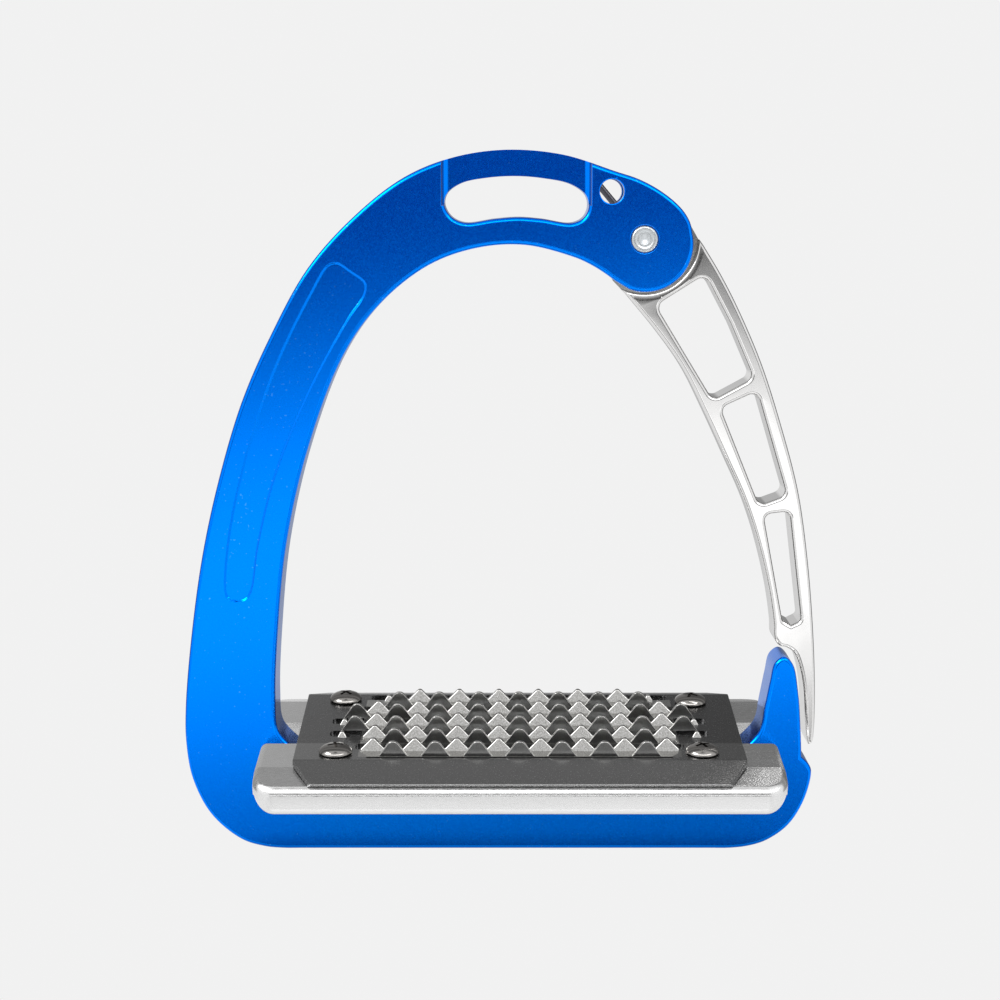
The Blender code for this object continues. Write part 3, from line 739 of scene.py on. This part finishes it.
# ---------------------------------------------------------------- return spring
def make_spring():
    def polar(radius, angle):
        turn = math.radians(angle)
        return Vector((radius * math.cos(turn), radius * math.sin(turn)))

    steps = 72
    sweep = HOOK_ANGLE - 360.0 - LEG_ANGLE
    coil = [polar(COIL_R, LEG_ANGLE + sweep * i / steps) for i in range(steps + 1)]
    leg = polar(LEG_END, LEG_ANGLE)
    hook = polar(HOOK_END, HOOK_ANGLE)
    path = [leg] + corner_arc(leg, coil[0], coil[1], 0.9, 10) + coil[3:-3]
    path += corner_arc(coil[-2], coil[-1], hook, 0.9, 10) + [hook]
    wire = bpy.data.curves.new("spring_wire", "CURVE")
    wire.dimensions = "3D"
    wire.bevel_depth = WIRE_R * MM
    wire.bevel_resolution = 5
    wire.use_fill_caps = True
    line = wire.splines.new("POLY")
    line.points.add(len(path) - 1)
    for point, (x, z) in zip(line.points, path):
        point.co = (x * MM, COIL_Y * MM, z * MM, 1.0)
    holder = add("spring_curve", wire)
    evaluated = holder.evaluated_get(bpy.context.evaluated_depsgraph_get())
    mesh = bpy.data.meshes.new_from_object(evaluated)
    bpy.data.objects.remove(holder, do_unlink=True)
    bm = bmesh.new()
    bm.from_mesh(mesh)
    bmesh.ops.remove_doubles(bm, verts=bm.verts, dist=0.000002)
    spring = from_bmesh("spring_wire", bm)
    return smooth(place(spring, HINGE), 50)


# ---------------------------------------------------------------- tread base
def make_base():
    section = [
        (-BASE_FLAT_Y, 0.0),
        (BASE_FLAT_Y, 0.0),
        (BASE_HALF_Y, -BASE_DROP),
        (BASE_HALF_Y, BASE_BOTTOM),
        (-BASE_HALF_Y, BASE_BOTTOM),
        (-BASE_HALF_Y, -BASE_DROP),
    ]
    base = prism("tread_casting", [section], BASE_HALF_X * 2)
    bm = bmesh.new()
    bm.from_mesh(base.data)
    low = min(v.co.z for v in bm.verts) + 0.01 * MM
    ends = []
    for edge in bm.edges:
        a, b = (v.co for v in edge.verts)
        corner = abs(abs(a.x) - BASE_HALF_Y * MM) < 1e-6 and abs(a.x - b.x) < 1e-6
        if a.z < low and b.z < low and abs(a.y - b.y) < 0.01 * MM:
            ends.append(edge)
        elif corner and abs(a.y - b.y) < 1e-6 and abs(a.z - b.z) > 1e-6:
            ends.append(edge)
    bmesh.ops.bevel(bm, geom=ends, offset=BASE_CORNER * MM, segments=12, profile=0.5, affect="EDGES")
    bm.to_mesh(base.data)
    bm.free()
    place(base, TREAD @ ENDWISE)
    rims = base.modifiers.new("rims", "BEVEL")
    rims.limit_method = "ANGLE"
    rims.angle_limit = math.radians(30)
    rims.width = 1.8 * MM
    rims.segments = 8

    half_x, half_y, depth = POCKET
    corners = [(-half_x, -half_y), (half_x, -half_y), (half_x, half_y), (-half_x, half_y)]
    pocket = prism("base_pocket", [rounded(corners, 3.0)], depth * 2, collection=tools)
    cut(base, place(pocket, TREAD @ FLAT))

    far = BASE_HALF_X + CLEAR
    side = BACK + 0.3
    cut(base, box("bar_channel", (-far, -side, 0), (far, side, BAR_TOP + 0.3)))
    side = BACK + 0.45
    top = TREAD_Z + 3 * CLEAR
    cut(base, box("end_notch_left", (-far, -side, 10), (TREAD_X - NOTCH_X, side, top)))
    cut(base, box("end_notch_right", (TREAD_X + NOTCH_X, -side, 10), (far, side, top)))

    for i, (x, y) in enumerate(PLATE_SCREWS):
        thread = rod("base_thread_%d" % (i + 1), PLATE_SCREW_R + 0.3, PLATE_SCREW_END - 0.8, 2, 24)
        cut(base, place(thread, TREAD @ at(x, y) @ UPRIGHT))
    for name, sign in (("left", -1), ("right", 1)):
        hole = rod("base_clearance_" + name, BASE_SCREW_R + 0.3, -8, 4, 24)
        cut(base, place(hole, TREAD @ at(sign * BASE_SCREW_X) @ UPRIGHT))
    bake(base)
    return smooth(base, 12)


# ---------------------------------------------------------------- grip plate
def plate_section():
    """Flat sheet with a flange folded down along its front and back edges."""
    along = Vector((FLANGE_Y - PLATE_FOLD_Y, FLANGE_Z - PLATE_TOP)).normalized()
    half_fold = math.atan2(-along.y, along.x) / 2
    fold_under = PLATE_FOLD_Y - PLATE_T * math.tan(half_fold)
    tip_y = FLANGE_Y + along.y * PLATE_T - along.x * EDGE_GRIND
    tip_z = FLANGE_Z - along.x * PLATE_T - along.y * EDGE_GRIND
    points = [
        (PLATE_FOLD_Y, PLATE_TOP),
        (FLANGE_Y, FLANGE_Z),
        (tip_y, tip_z),
        (fold_under, PLATE_TOP - PLATE_T),
    ]
    radii = [3.0, 0.25, 0.2, 1.5]
    points += [(-y, z) for y, z in reversed(points)]
    return rounded(points, radii + radii[::-1], 5)


def front_tooth(x, half, height):
    """Outline of a rounded tooth and of the root that joins it to the sheet."""
    right = [(half, -0.9), (half, 0.0), (0.85, height + 0.05)]
    points = right + [(-px, pz) for px, pz in reversed(right)]
    return rounded([(x + px, pz) for px, pz in points], [0, 0.4, 1.4, 1.4, 0.4, 0], 6)


def back_tooth(x, half, height):
    """The same for a lower, more pointed tooth with short upright sides."""
    right = [(half, -0.9), (half, 0.15 * height), (0.35, height + 0.02)]
    points = right + [(-px, pz) for px, pz in reversed(right)]
    return rounded([(x + px, pz) for px, pz in points], [0, 0.3, 0.6, 0.6, 0.3, 0], 6)


def tooth_row(name, outlines, y, facing, lean):
    """Teeth along one edge of a strip, leaning away from it."""
    mesh = outline_mesh(name, outlines, TOOTH_T, 0.22, 3)
    slant = Matrix.Shear("XY", 4, (0.0, facing * math.tan(lean)))
    middle = y - facing * (TOOTH_T / 2 + 0.06)
    mesh.transform(at(0, middle, PLATE_TOP) @ slant)
    return mesh


def make_teeth():
    bm = bmesh.new()
    for row in range(5):
        y = ROW_CENTRE + ROW_PITCH * (row - 2)
        reach = 4 if row in (2, 3) else 3
        columns = [TOOTH_PITCH * j for j in range(-reach, reach + 1)]
        outlines = [front_tooth(x, *FRONT_TOOTH) for x in columns]
        bm.from_mesh(tooth_row("front_row", outlines, y - STRIP_HALF, -1, FRONT_LEAN))
        reach = 3 if row == 4 else 4
        columns = [TOOTH_PITCH * (j + 0.5) for j in range(-reach, reach)]
        outlines = [back_tooth(x, *BACK_TOOTH) for x in columns]
        outlines += [back_tooth(x, *END_TOOTH) for x, end_row in END_TEETH if end_row == row]
        bm.from_mesh(tooth_row("back_row", outlines, y + STRIP_HALF, 1, BACK_LEAN))
    return from_bmesh("teeth", bm, tools)


def plate_slots():
    first = ROW_CENTRE - 2 * ROW_PITCH - STRIP_HALF
    last = ROW_CENTRE + 2 * ROW_PITCH + STRIP_HALF
    slots = [(first - 1.1, first, 37.5), (last, last + 3.6, 38.5)]
    for row in range(4):
        start = ROW_CENTRE + ROW_PITCH * (row - 2) + STRIP_HALF
        half_length = 47.4 if row in (1, 2) else 40.5
        slots.append((start, start + ROW_PITCH - 2 * STRIP_HALF, half_length))
    return slots


def make_plate():
    plate = prism("grip_sheet", [plate_section()], PLATE_HALF_X * 2, 0.2, 2)
    place(plate, TREAD @ ENDWISE)
    beyond = FLANGE_Y + 2.0
    for number, (sx, sy) in enumerate(((-1, -1), (1, -1), (-1, 1), (1, 1))):
        corner = [
            (sx * PLATE_HALF_X, sy * PLATE_FOLD_Y),
            (sx * (PLATE_HALF_X + CLEAR), sy * PLATE_FOLD_Y),
            (sx * (PLATE_HALF_X + CLEAR), sy * beyond),
            (sx * (PLATE_HALF_X - FLANGE_TAPER), sy * beyond),
        ]
        tool = prism("flange_corner_%d" % (number + 1), [corner], 16.0, collection=tools)
        cut(plate, place(tool, TREAD @ FLAT))
    for number, (painted_shadow_distance, far, half) in enumerate(plate_slots()):
        loop = [(-half, painted_shadow_distance), (half, painted_shadow_distance), (half, far), (-half, far)]
        radius = min((far - painted_shadow_distance) / 2 - 0.05, 1.2)
        tool = prism("plate_slot_%d" % (number + 1), [rounded(loop, radius)], 12.0, collection=tools)
        cut(plate, place(tool, TREAD @ FLAT))
    cut(plate, place(make_teeth(), TREAD), "UNION")
    bake(plate)
    return smooth(plate)


# ---------------------------------------------------------------- screws
def make_plate_screw(number, x, y):
    seat = PLATE_TOP + 0.2
    dome = [(0, seat + HEAD_H)]
    for k in range(1, 15):
        t = math.radians(88) * k / 14
        radius = 0.35 * HEAD_R * k / 14 + 0.65 * HEAD_R * math.sin(t)
        dome.append((radius, seat + HEAD_H * (0.12 + 0.88 * math.cos(t) ** 0.8)))
    profile = dome + [
        (HEAD_R, seat + HEAD_H * 0.1),
        (HEAD_R - 0.2, seat),
        (PLATE_SCREW_R, seat),
        (PLATE_SCREW_R, PLATE_SCREW_END),
        (0, PLATE_SCREW_END),
    ]
    screw = turned("plate_screw_%d_head" % number, profile, 72)
    stand = TREAD @ at(x, y)
    place(screw, stand @ UPRIGHT)
    a, b = 1.9, 0.38
    quarter = [(a, b), (b, b), (b, a), (-b, a), (-b, b), (-a, b)]
    plus = quarter + [(-px, -py) for px, py in quarter]
    recess = prism("cross_recess_%d" % number, [plus], 3.4, collection=tools)
    turn = Matrix.Rotation(math.radians(20 * number - 10), 4, "Z")
    cut(screw, place(recess, stand @ turn @ at(0, 0, seat + 2.5) @ FLAT))
    drop_slivers(bake(screw))
    return smooth(screw, 40)


# ---------------------------------------------------------------- materials
class Nodes:
    """Short calls for building a node tree."""

    def __init__(self, tree):
        self.tree = tree

    def add(self, kind, inputs=None, **properties):
        node = self.tree.nodes.new(kind)
        for key, value in properties.items():
            setattr(node, key, value)
        for key, value in (inputs or {}).items():
            self.feed(node.inputs[key], value)
        return node

    def feed(self, socket, value):
        if isinstance(value, bpy.types.NodeSocket):
            self.tree.links.new(value, socket)
        else:
            socket.default_value = value

    def math(self, operation, a, b=0.0, c=0.0, clamp=False):
        node = self.add("ShaderNodeMath", {0: a, 1: b, 2: c}, operation=operation, use_clamp=clamp)
        return node.outputs[0]

    def ramp(self, value, low, high, to_low=0.0, to_high=1.0):
        """Smooth step of a value from low to high, given out between to_low and to_high."""
        inputs = {"Value": value, "From Min": low, "From Max": high, "To Min": to_low, "To Max": to_high}
        node = self.add("ShaderNodeMapRange", inputs, interpolation_type="SMOOTHSTEP", clamp=True)
        return node.outputs["Result"]

    def noise(self, vector, scale, detail=2.0, roughness=0.5):
        inputs = {"Vector": vector, "Scale": scale, "Detail": detail, "Roughness": roughness}
        return self.add("ShaderNodeTexNoise", inputs).outputs["Fac"]

    def curve(self, value, stops):
        """Straight lines between (position, level) stops."""
        node = self.add("ShaderNodeValToRGB", {0: value})
        ramp = node.color_ramp
        while len(ramp.elements) < len(stops):
            ramp.elements.new(0.5)
        for element, (position, level) in zip(ramp.elements, stops):
            element.position = position
            element.color = (level, level, level, 1)
        return node.outputs["Color"]

    def blend(self, factor, a, b):
        """Number between a and b."""
        node = self.add("ShaderNodeMix", data_type="FLOAT")
        self.feed(node.inputs[0], factor)
        self.feed(node.inputs[2], a)
        self.feed(node.inputs[3], b)
        return node.outputs[0]

    def mix(self, factor, a, b):
        node = self.add("ShaderNodeMix", data_type="RGBA")
        self.feed(node.inputs["Factor"], factor)
        self.feed(node.inputs[6], a)
        self.feed(node.inputs[7], b)
        return node.outputs[2]


def new_material(name):
    material = bpy.data.materials.new(name)
    material.use_nodes = True
    tree = material.node_tree
    tree.nodes.clear()
    nodes = Nodes(tree)
    out = nodes.add("ShaderNodeOutputMaterial")
    return material, nodes, out


def object_coordinates(nodes, scale=(1.0, 1.0, 1.0)):
    coordinates = nodes.add("ShaderNodeTexCoord").outputs["Object"]
    return nodes.add("ShaderNodeMapping", {"Vector": coordinates, "Scale": scale}).outputs["Vector"]


def metal_shader(nodes, tone, rough, relief, bump):
    height = nodes.add("ShaderNodeBump", {"Strength": bump, "Distance": 0.0002, "Height": relief})
    inputs = {"Base Color": tone, "Metallic": 1.0, "Roughness": rough, "Normal": height.outputs[0]}
    return nodes.add("ShaderNodeBsdfPrincipled", inputs)


def metal(name, colour, roughness, grain=0.1, grain_size=0.25, stretch=(1, 1, 1), bump=0.02, tint=0.06):
    """Solid metal with a fine grain in colour, roughness and relief."""
    material, nodes, out = new_material(name)
    where = object_coordinates(nodes, stretch)
    fine = nodes.noise(where, 1000.0 / grain_size, 3.0, 0.6)
    wide = nodes.noise(where, 1000.0 / 9.0, 2.0, 0.5)
    dark = tuple(c * (1 - tint) for c in colour) + (1.0,)
    light = tuple(min(c * (1 + tint), 1.0) for c in colour) + (1.0,)
    tone = nodes.mix(nodes.ramp(fine, 0.3, 0.7), dark, light)
    rough = nodes.ramp(fine, 0.25, 0.75, roughness - grain, roughness + grain)
    rough = nodes.math("ADD", rough, nodes.ramp(wide, 0.3, 0.7, -0.02, 0.03))
    shader = metal_shader(nodes, tone, rough, fine, bump)
    nodes.tree.links.new(shader.outputs[0], out.inputs["Surface"])
    return material


def anodised(name):
    """Blue dyed oxide on a fine satin surface, with a few fine pits.

    The dye adds its own deep blue where the surface is seen squarely.
    """
    material, nodes, out = new_material(name)
    where = object_coordinates(nodes)
    fine = nodes.noise(where, 1000.0 / 0.4, 3.0, 0.6)
    specks = nodes.noise(where, 1000.0 / 0.7, 1.0, 0.4)
    speck = nodes.ramp(specks, 0.70, 0.78, 0.0, 0.35)
    tone = nodes.mix(nodes.ramp(fine, 0.3, 0.7), (0.0, 0.235, 0.97, 1), (0.0, 0.252, 1.0, 1))
    tone = nodes.mix(speck, tone, (0.12, 0.5, 1.0, 1))
    rough = nodes.ramp(fine, 0.2, 0.8, 0.13, 0.18)
    metallic = metal_shader(nodes, tone, rough, fine, 0.004)
    slant = nodes.add("ShaderNodeLayerWeight", {"Blend": 0.5}).outputs["Facing"]
    depth = nodes.mix(nodes.ramp(slant, 0.5, 0.9), (0.0, 0.0, 0.12, 1), (0.0, 0.0, 0.0, 1))
    dye = nodes.add("ShaderNodeBsdfDiffuse", {"Color": depth})
    both = nodes.add("ShaderNodeAddShader", {0: metallic.outputs[0], 1: dye.outputs[0]})
    nodes.tree.links.new(both.outputs[0], out.inputs["Surface"])
    return material


def toothed_sheet(name):
    """Dark satin sheet: bare and brighter on the teeth and their strips, with painted light on the faces
    turned upwards and painted shade on the other bare faces, and greyer along the front.
    """
    material, nodes, out = new_material(name)
    where = object_coordinates(nodes)
    fine = nodes.noise(where, 1000.0 / 0.3, 3.0, 0.6)
    turn = nodes.add("ShaderNodeMapping", {"Vector": where, "Rotation": (-TREAD_TILT, 0, 0)})
    x, y, z = nodes.add("ShaderNodeSeparateXYZ", {0: turn.outputs["Vector"]}).outputs
    top = (TREAD_Z * math.cos(TREAD_TILT) + PLATE_TOP) * MM
    shift = TREAD_Z * math.sin(TREAD_TILT)
    middle = (ROW_CENTRE + shift) * MM
    reach = (2 * ROW_PITCH + STRIP_HALF + 0.1) * MM
    off = nodes.math("ABSOLUTE", nodes.math("SUBTRACT", y, middle))
    across = nodes.math("ABSOLUTE", nodes.math("SUBTRACT", x, TREAD_X * MM))
    deep = nodes.math("LESS_THAN", off, reach)
    wide = nodes.math("LESS_THAN", across, BARE_HALF_X * MM)
    strips = nodes.math("MULTIPLY", deep, wide)
    above = nodes.math("GREATER_THAN", z, top + 0.12 * MM)
    bare = nodes.math("MAXIMUM", strips, above)
    seam = WORN_FRONT_Y + shift
    front = nodes.ramp(y, (seam - 0.3) * MM, (seam + 0.3) * MM, 1.0, 0.0)
    satin = nodes.mix(front, (0.125, 0.125, 0.127, 1), (0.28, 0.28, 0.28, 1))
    facing = nodes.add("ShaderNodeNewGeometry").outputs["Normal"]
    normal = nodes.add("ShaderNodeSeparateXYZ", {0: facing})
    # Painted light and shade: bare faces turned upwards get a lighter tone and the other bare faces a darker
    # one; the same mask also makes the upward faces smoother.
    upward_painted_light_and_gloss = nodes.ramp(normal.outputs[2], -0.12, 0.05)
    streak = nodes.ramp(fine, 0.3, 0.7)
    painted_top_light_tone = nodes.mix(streak, (0.42, 0.415, 0.40, 1), (0.60, 0.595, 0.58, 1))
    bare_tone_painted_light_and_shade = nodes.mix(upward_painted_light_and_gloss, (0.27, 0.27, 0.265, 1), painted_top_light_tone)
    tone = nodes.mix(bare, satin, bare_tone_painted_light_and_shade)
    tone = nodes.mix(nodes.ramp(fine, 0.35, 0.75, 0.0, 0.16), tone, (1.0, 1.0, 1.0, 1))
    rough = nodes.blend(bare, 0.24, nodes.blend(upward_painted_light_and_gloss, 0.34, 0.14))
    rough = nodes.math("ADD", rough, nodes.ramp(fine, 0.25, 0.75, -0.04, 0.04))
    shader = metal_shader(nodes, tone, rough, fine, 0.012)
    nodes.tree.links.new(shader.outputs[0], out.inputs["Surface"])
    return material


BLUE = anodised("blue_anodised")
ARM = metal("polished_arm", (0.84, 0.835, 0.83), 0.09, 0.03, 0.25, bump=0.004)
CAST = metal("polished_tread", (0.88, 0.88, 0.88), 0.25, 0.05, 0.25, (0.15, 1, 1), bump=0.01)
SHEET = toothed_sheet("satin_sheet")
ZINC = metal("zinc_rivet", (0.70, 0.735, 0.76), 0.3, 0.05, 0.3)
STEEL = metal("bright_screw", (0.36, 0.345, 0.33), 0.14, 0.05, 0.2)
SPRING = metal("spring_steel", (0.10, 0.10, 0.12), 0.2, 0.05, 0.2)
BRONZE = metal("bearing_bronze", (0.62, 0.42, 0.20), 0.35, 0.05, 0.3)


def dress(obj, body, material, slot, *nodes):
    obj.data.materials.clear()
    obj.data.materials.append(material)
    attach(obj, body)
    if nodes:
        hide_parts(*nodes)


blue_frame = make_frame()
blue_frame.visible_glossy = False  # the polished parts beside it mirror the studio only
dress(blue_frame, "frame", BLUE, "frame_anodised", "frame")
dress(make_arm(), "arm", ARM, "arm_polished", "release_arm")
dress(make_pin(), "frame", ZINC, "pin_zinc", "pivot_pin")
dress(make_spring(), "frame", SPRING, "spring_steel", "return_spring")
dress(make_base(), "frame", CAST, "base_polished", "tread_base")
dress(make_plate(), "frame", SHEET, "plate_satin", "grip_plate")
for index, (screw_x, screw_y) in enumerate(PLATE_SCREWS):
    screw = make_plate_screw(index + 1, screw_x, screw_y)
    dress(screw, "frame", STEEL, "screw_steel", "plate_screw_%d" % (index + 1))

for node, material in (
    ("pivot_retainer", ZINC),
    ("hub_bush", BRONZE),
    ("thrust_washer_front", STEEL),
    ("thrust_washer_back", STEEL),
    ("base_screw_left", STEEL),
    ("base_screw_right", STEEL),
):
    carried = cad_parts[node]
    carried.data.materials.clear()
    carried.data.materials.append(material)
    smooth(carried)

bpy.data.collections.remove(tools)


# ---------------------------------------------------------------- stage
PALE = 0.8815  # the backdrop as the camera sees it

# (elevation in degrees, level) behind the camera, as an upright front face mirrors it
FRONT_LIGHT = (
    (-90.0, 0.85),
    (-27.0, 1.08),
    (-23.0, 0.12),
    (-17.8, 0.12),
    (-16.4, 0.27),
    (-14.6, 0.48),
    (-12.0, 1.32),
    (-8.0, 1.42),
    (-6.5, 1.18),
    (-4.6, 0.64),
    (-3.0, 0.34),
    (-1.8, 0.09),
    (-0.6, 0.03),
    (1.5, 0.10),
    (7.0, 0.35),
    (13.0, 0.85),
    (61.0, 0.85),
    (70.0, 0.30),
)

# (place from straight in front, 0, to straight behind, 1, level) in every other direction
AROUND_LIGHT = (
    (0.0, 0.9),
    (0.50, 0.88),
    (0.56, 0.30),
    (0.65, 0.14),
    (0.745, 0.42),
    (0.785, 0.20),
    (0.81, 0.21),
    (0.945, 0.26),
    (0.97, 0.33),
    (0.995, 0.52),
    (1.0, 0.52),
)


def studio_light(nodes, direction):
    """Brightness of the studio in a direction, as the metal reflects it.

    White table and side walls, a soft light high in front, a dark gap behind the camera at the height
    of the lens, and a dim grey room behind the object.
    """
    axes = nodes.add("ShaderNodeSeparateXYZ", {0: direction})
    x, y, z = axes.outputs
    to_degrees = 180.0 / math.pi
    height = nodes.math("MULTIPLY", nodes.math("ARCSINE", z), to_degrees)
    side = nodes.math("MULTIPLY", nodes.math("ARCTAN2", x, nodes.math("MULTIPLY", y, -1.0)), to_degrees)
    away = nodes.math("ABSOLUTE", side)

    fade = nodes.ramp(away, 12.0, 30.0, 1.0, 0.0)
    lean = nodes.math("MULTIPLY", nodes.math("MULTIPLY", side, -0.10), fade)
    shifted = nodes.math("ADD", height, lean)
    front = nodes.curve(
        nodes.math("DIVIDE", nodes.math("ADD", shifted, 90.0), 180.0),
        [((angle + 90) / 180, level) for angle, level in FRONT_LIGHT],
    )
    around = nodes.curve(nodes.math("DIVIDE", nodes.math("ADD", y, 1.0), 2.0), AROUND_LIGHT)
    leftward = nodes.math("MULTIPLY_ADD", x, -4.0, 1.0)
    leftward = nodes.math("MINIMUM", nodes.math("MAXIMUM", leftward, 0.6), 1.5)
    around = nodes.math("MULTIPLY", around, nodes.blend(nodes.ramp(y, 0.5, 0.8), 1.0, leftward))
    around = nodes.blend(nodes.ramp(height, -20.0, -8.0), 0.85, around)
    level = nodes.blend(nodes.ramp(away, 18.0, 35.0, 1.0, 0.0), around, front)
    box_top = nodes.ramp(height, 39.0, 44.0, 1.0, 0.0)
    box_height = nodes.math("MULTIPLY", nodes.ramp(height, 30.0, 33.0), box_top)
    top = nodes.math("MULTIPLY", nodes.ramp(away, 50.0, 75.0, 5.0, 0.0), box_height)
    return nodes.math("MAXIMUM", level, top)


def make_floor():
    """Pale floor: plain to the camera, part of the studio in reflections, and darker close to the iron there
    as a painted shadow.
    """
    bm = bmesh.new()
    bmesh.ops.create_circle(bm, cap_ends=True, segments=128, radius=6.0)
    bmesh.ops.translate(bm, verts=bm.verts, vec=(0, 0, -0.0002))
    floor = from_bmesh("floor", bm)
    material, nodes, out = new_material("pale_floor")
    geometry = nodes.add("ShaderNodeNewGeometry")
    axes = nodes.add("ShaderNodeSeparateXYZ", {0: geometry.outputs["Position"]})
    squares = []
    for along, reach in zip(axes.outputs, (60 * MM, 6 * MM)):
        beyond = nodes.math("SUBTRACT", nodes.math("ABSOLUTE", along), reach)
        beyond = nodes.math("MAXIMUM", beyond, 0.0)
        squares.append(nodes.math("MULTIPLY", beyond, beyond))
    painted_shadow_distance = nodes.math("SQRT", nodes.math("ADD", *squares))
    direction = nodes.add("ShaderNodeVectorMath", {0: geometry.outputs["Incoming"]}, operation="SCALE")
    direction.inputs["Scale"].default_value = -1.0
    seen = studio_light(nodes, direction.outputs[0])
    # Painted shadow: in reflections the floor is dimmed to half beside the iron's footprint, fading out over
    # 22 mm.
    seen = nodes.math("MULTIPLY", seen, nodes.ramp(painted_shadow_distance, 0.0, 0.022, 0.5, 1.0))
    path = nodes.add("ShaderNodeLightPath")
    level = nodes.blend(path.outputs["Is Camera Ray"], seen, PALE)
    glow = nodes.add("ShaderNodeEmission", {"Color": (1, 1, 1, 1), "Strength": level})
    nodes.tree.links.new(glow.outputs[0], out.inputs["Surface"])
    floor.data.materials.append(material)


def make_world():
    world = bpy.data.worlds.new("studio")
    bpy.context.scene.world = world
    world.use_nodes = True
    tree = world.node_tree
    tree.nodes.clear()
    nodes = Nodes(tree)
    direction = nodes.add("ShaderNodeTexCoord").outputs["Generated"]
    path = nodes.add("ShaderNodeLightPath")
    level = nodes.blend(path.outputs["Is Camera Ray"], studio_light(nodes, direction), PALE)
    background = nodes.add("ShaderNodeBackground", {"Color": (1, 1, 1, 1), "Strength": level})
    out = nodes.add("ShaderNodeOutputWorld")
    tree.links.new(background.outputs[0], out.inputs["Surface"])


def soft_light(name, place_at, aim, size, power):
    data = bpy.data.lights.new(name, "AREA")
    data.shape = "RECTANGLE"
    data.size, data.size_y = size
    data.energy = power
    light = add(name, data)
    light.location = place_at
    light.rotation_euler = (Vector(aim) - Vector(place_at)).to_track_quat("-Z", "Y").to_euler()
    light.visible_camera = False
    return light


def make_camera():
    """Slightly above the iron, nearly straight in front of it, and tilted down to it."""
    data = bpy.data.cameras.new("camera")
    data.sensor_width = 36.0
    data.lens = 79.776
    camera = add("camera", data)
    camera.location = (-0.0054, -0.5476, 0.1643)
    camera.rotation_euler = (math.radians(90.0 - 7.96), 0.0, 0.0)
    bpy.context.scene.camera = camera


make_floor()
make_world()
soft_light("upper_left", (-0.7, -0.35, 0.75), (0, 0, 0.1), (0.5, 0.5), 4.0)
make_camera()
bpy.context.scene.view_settings.view_transform = "Standard"
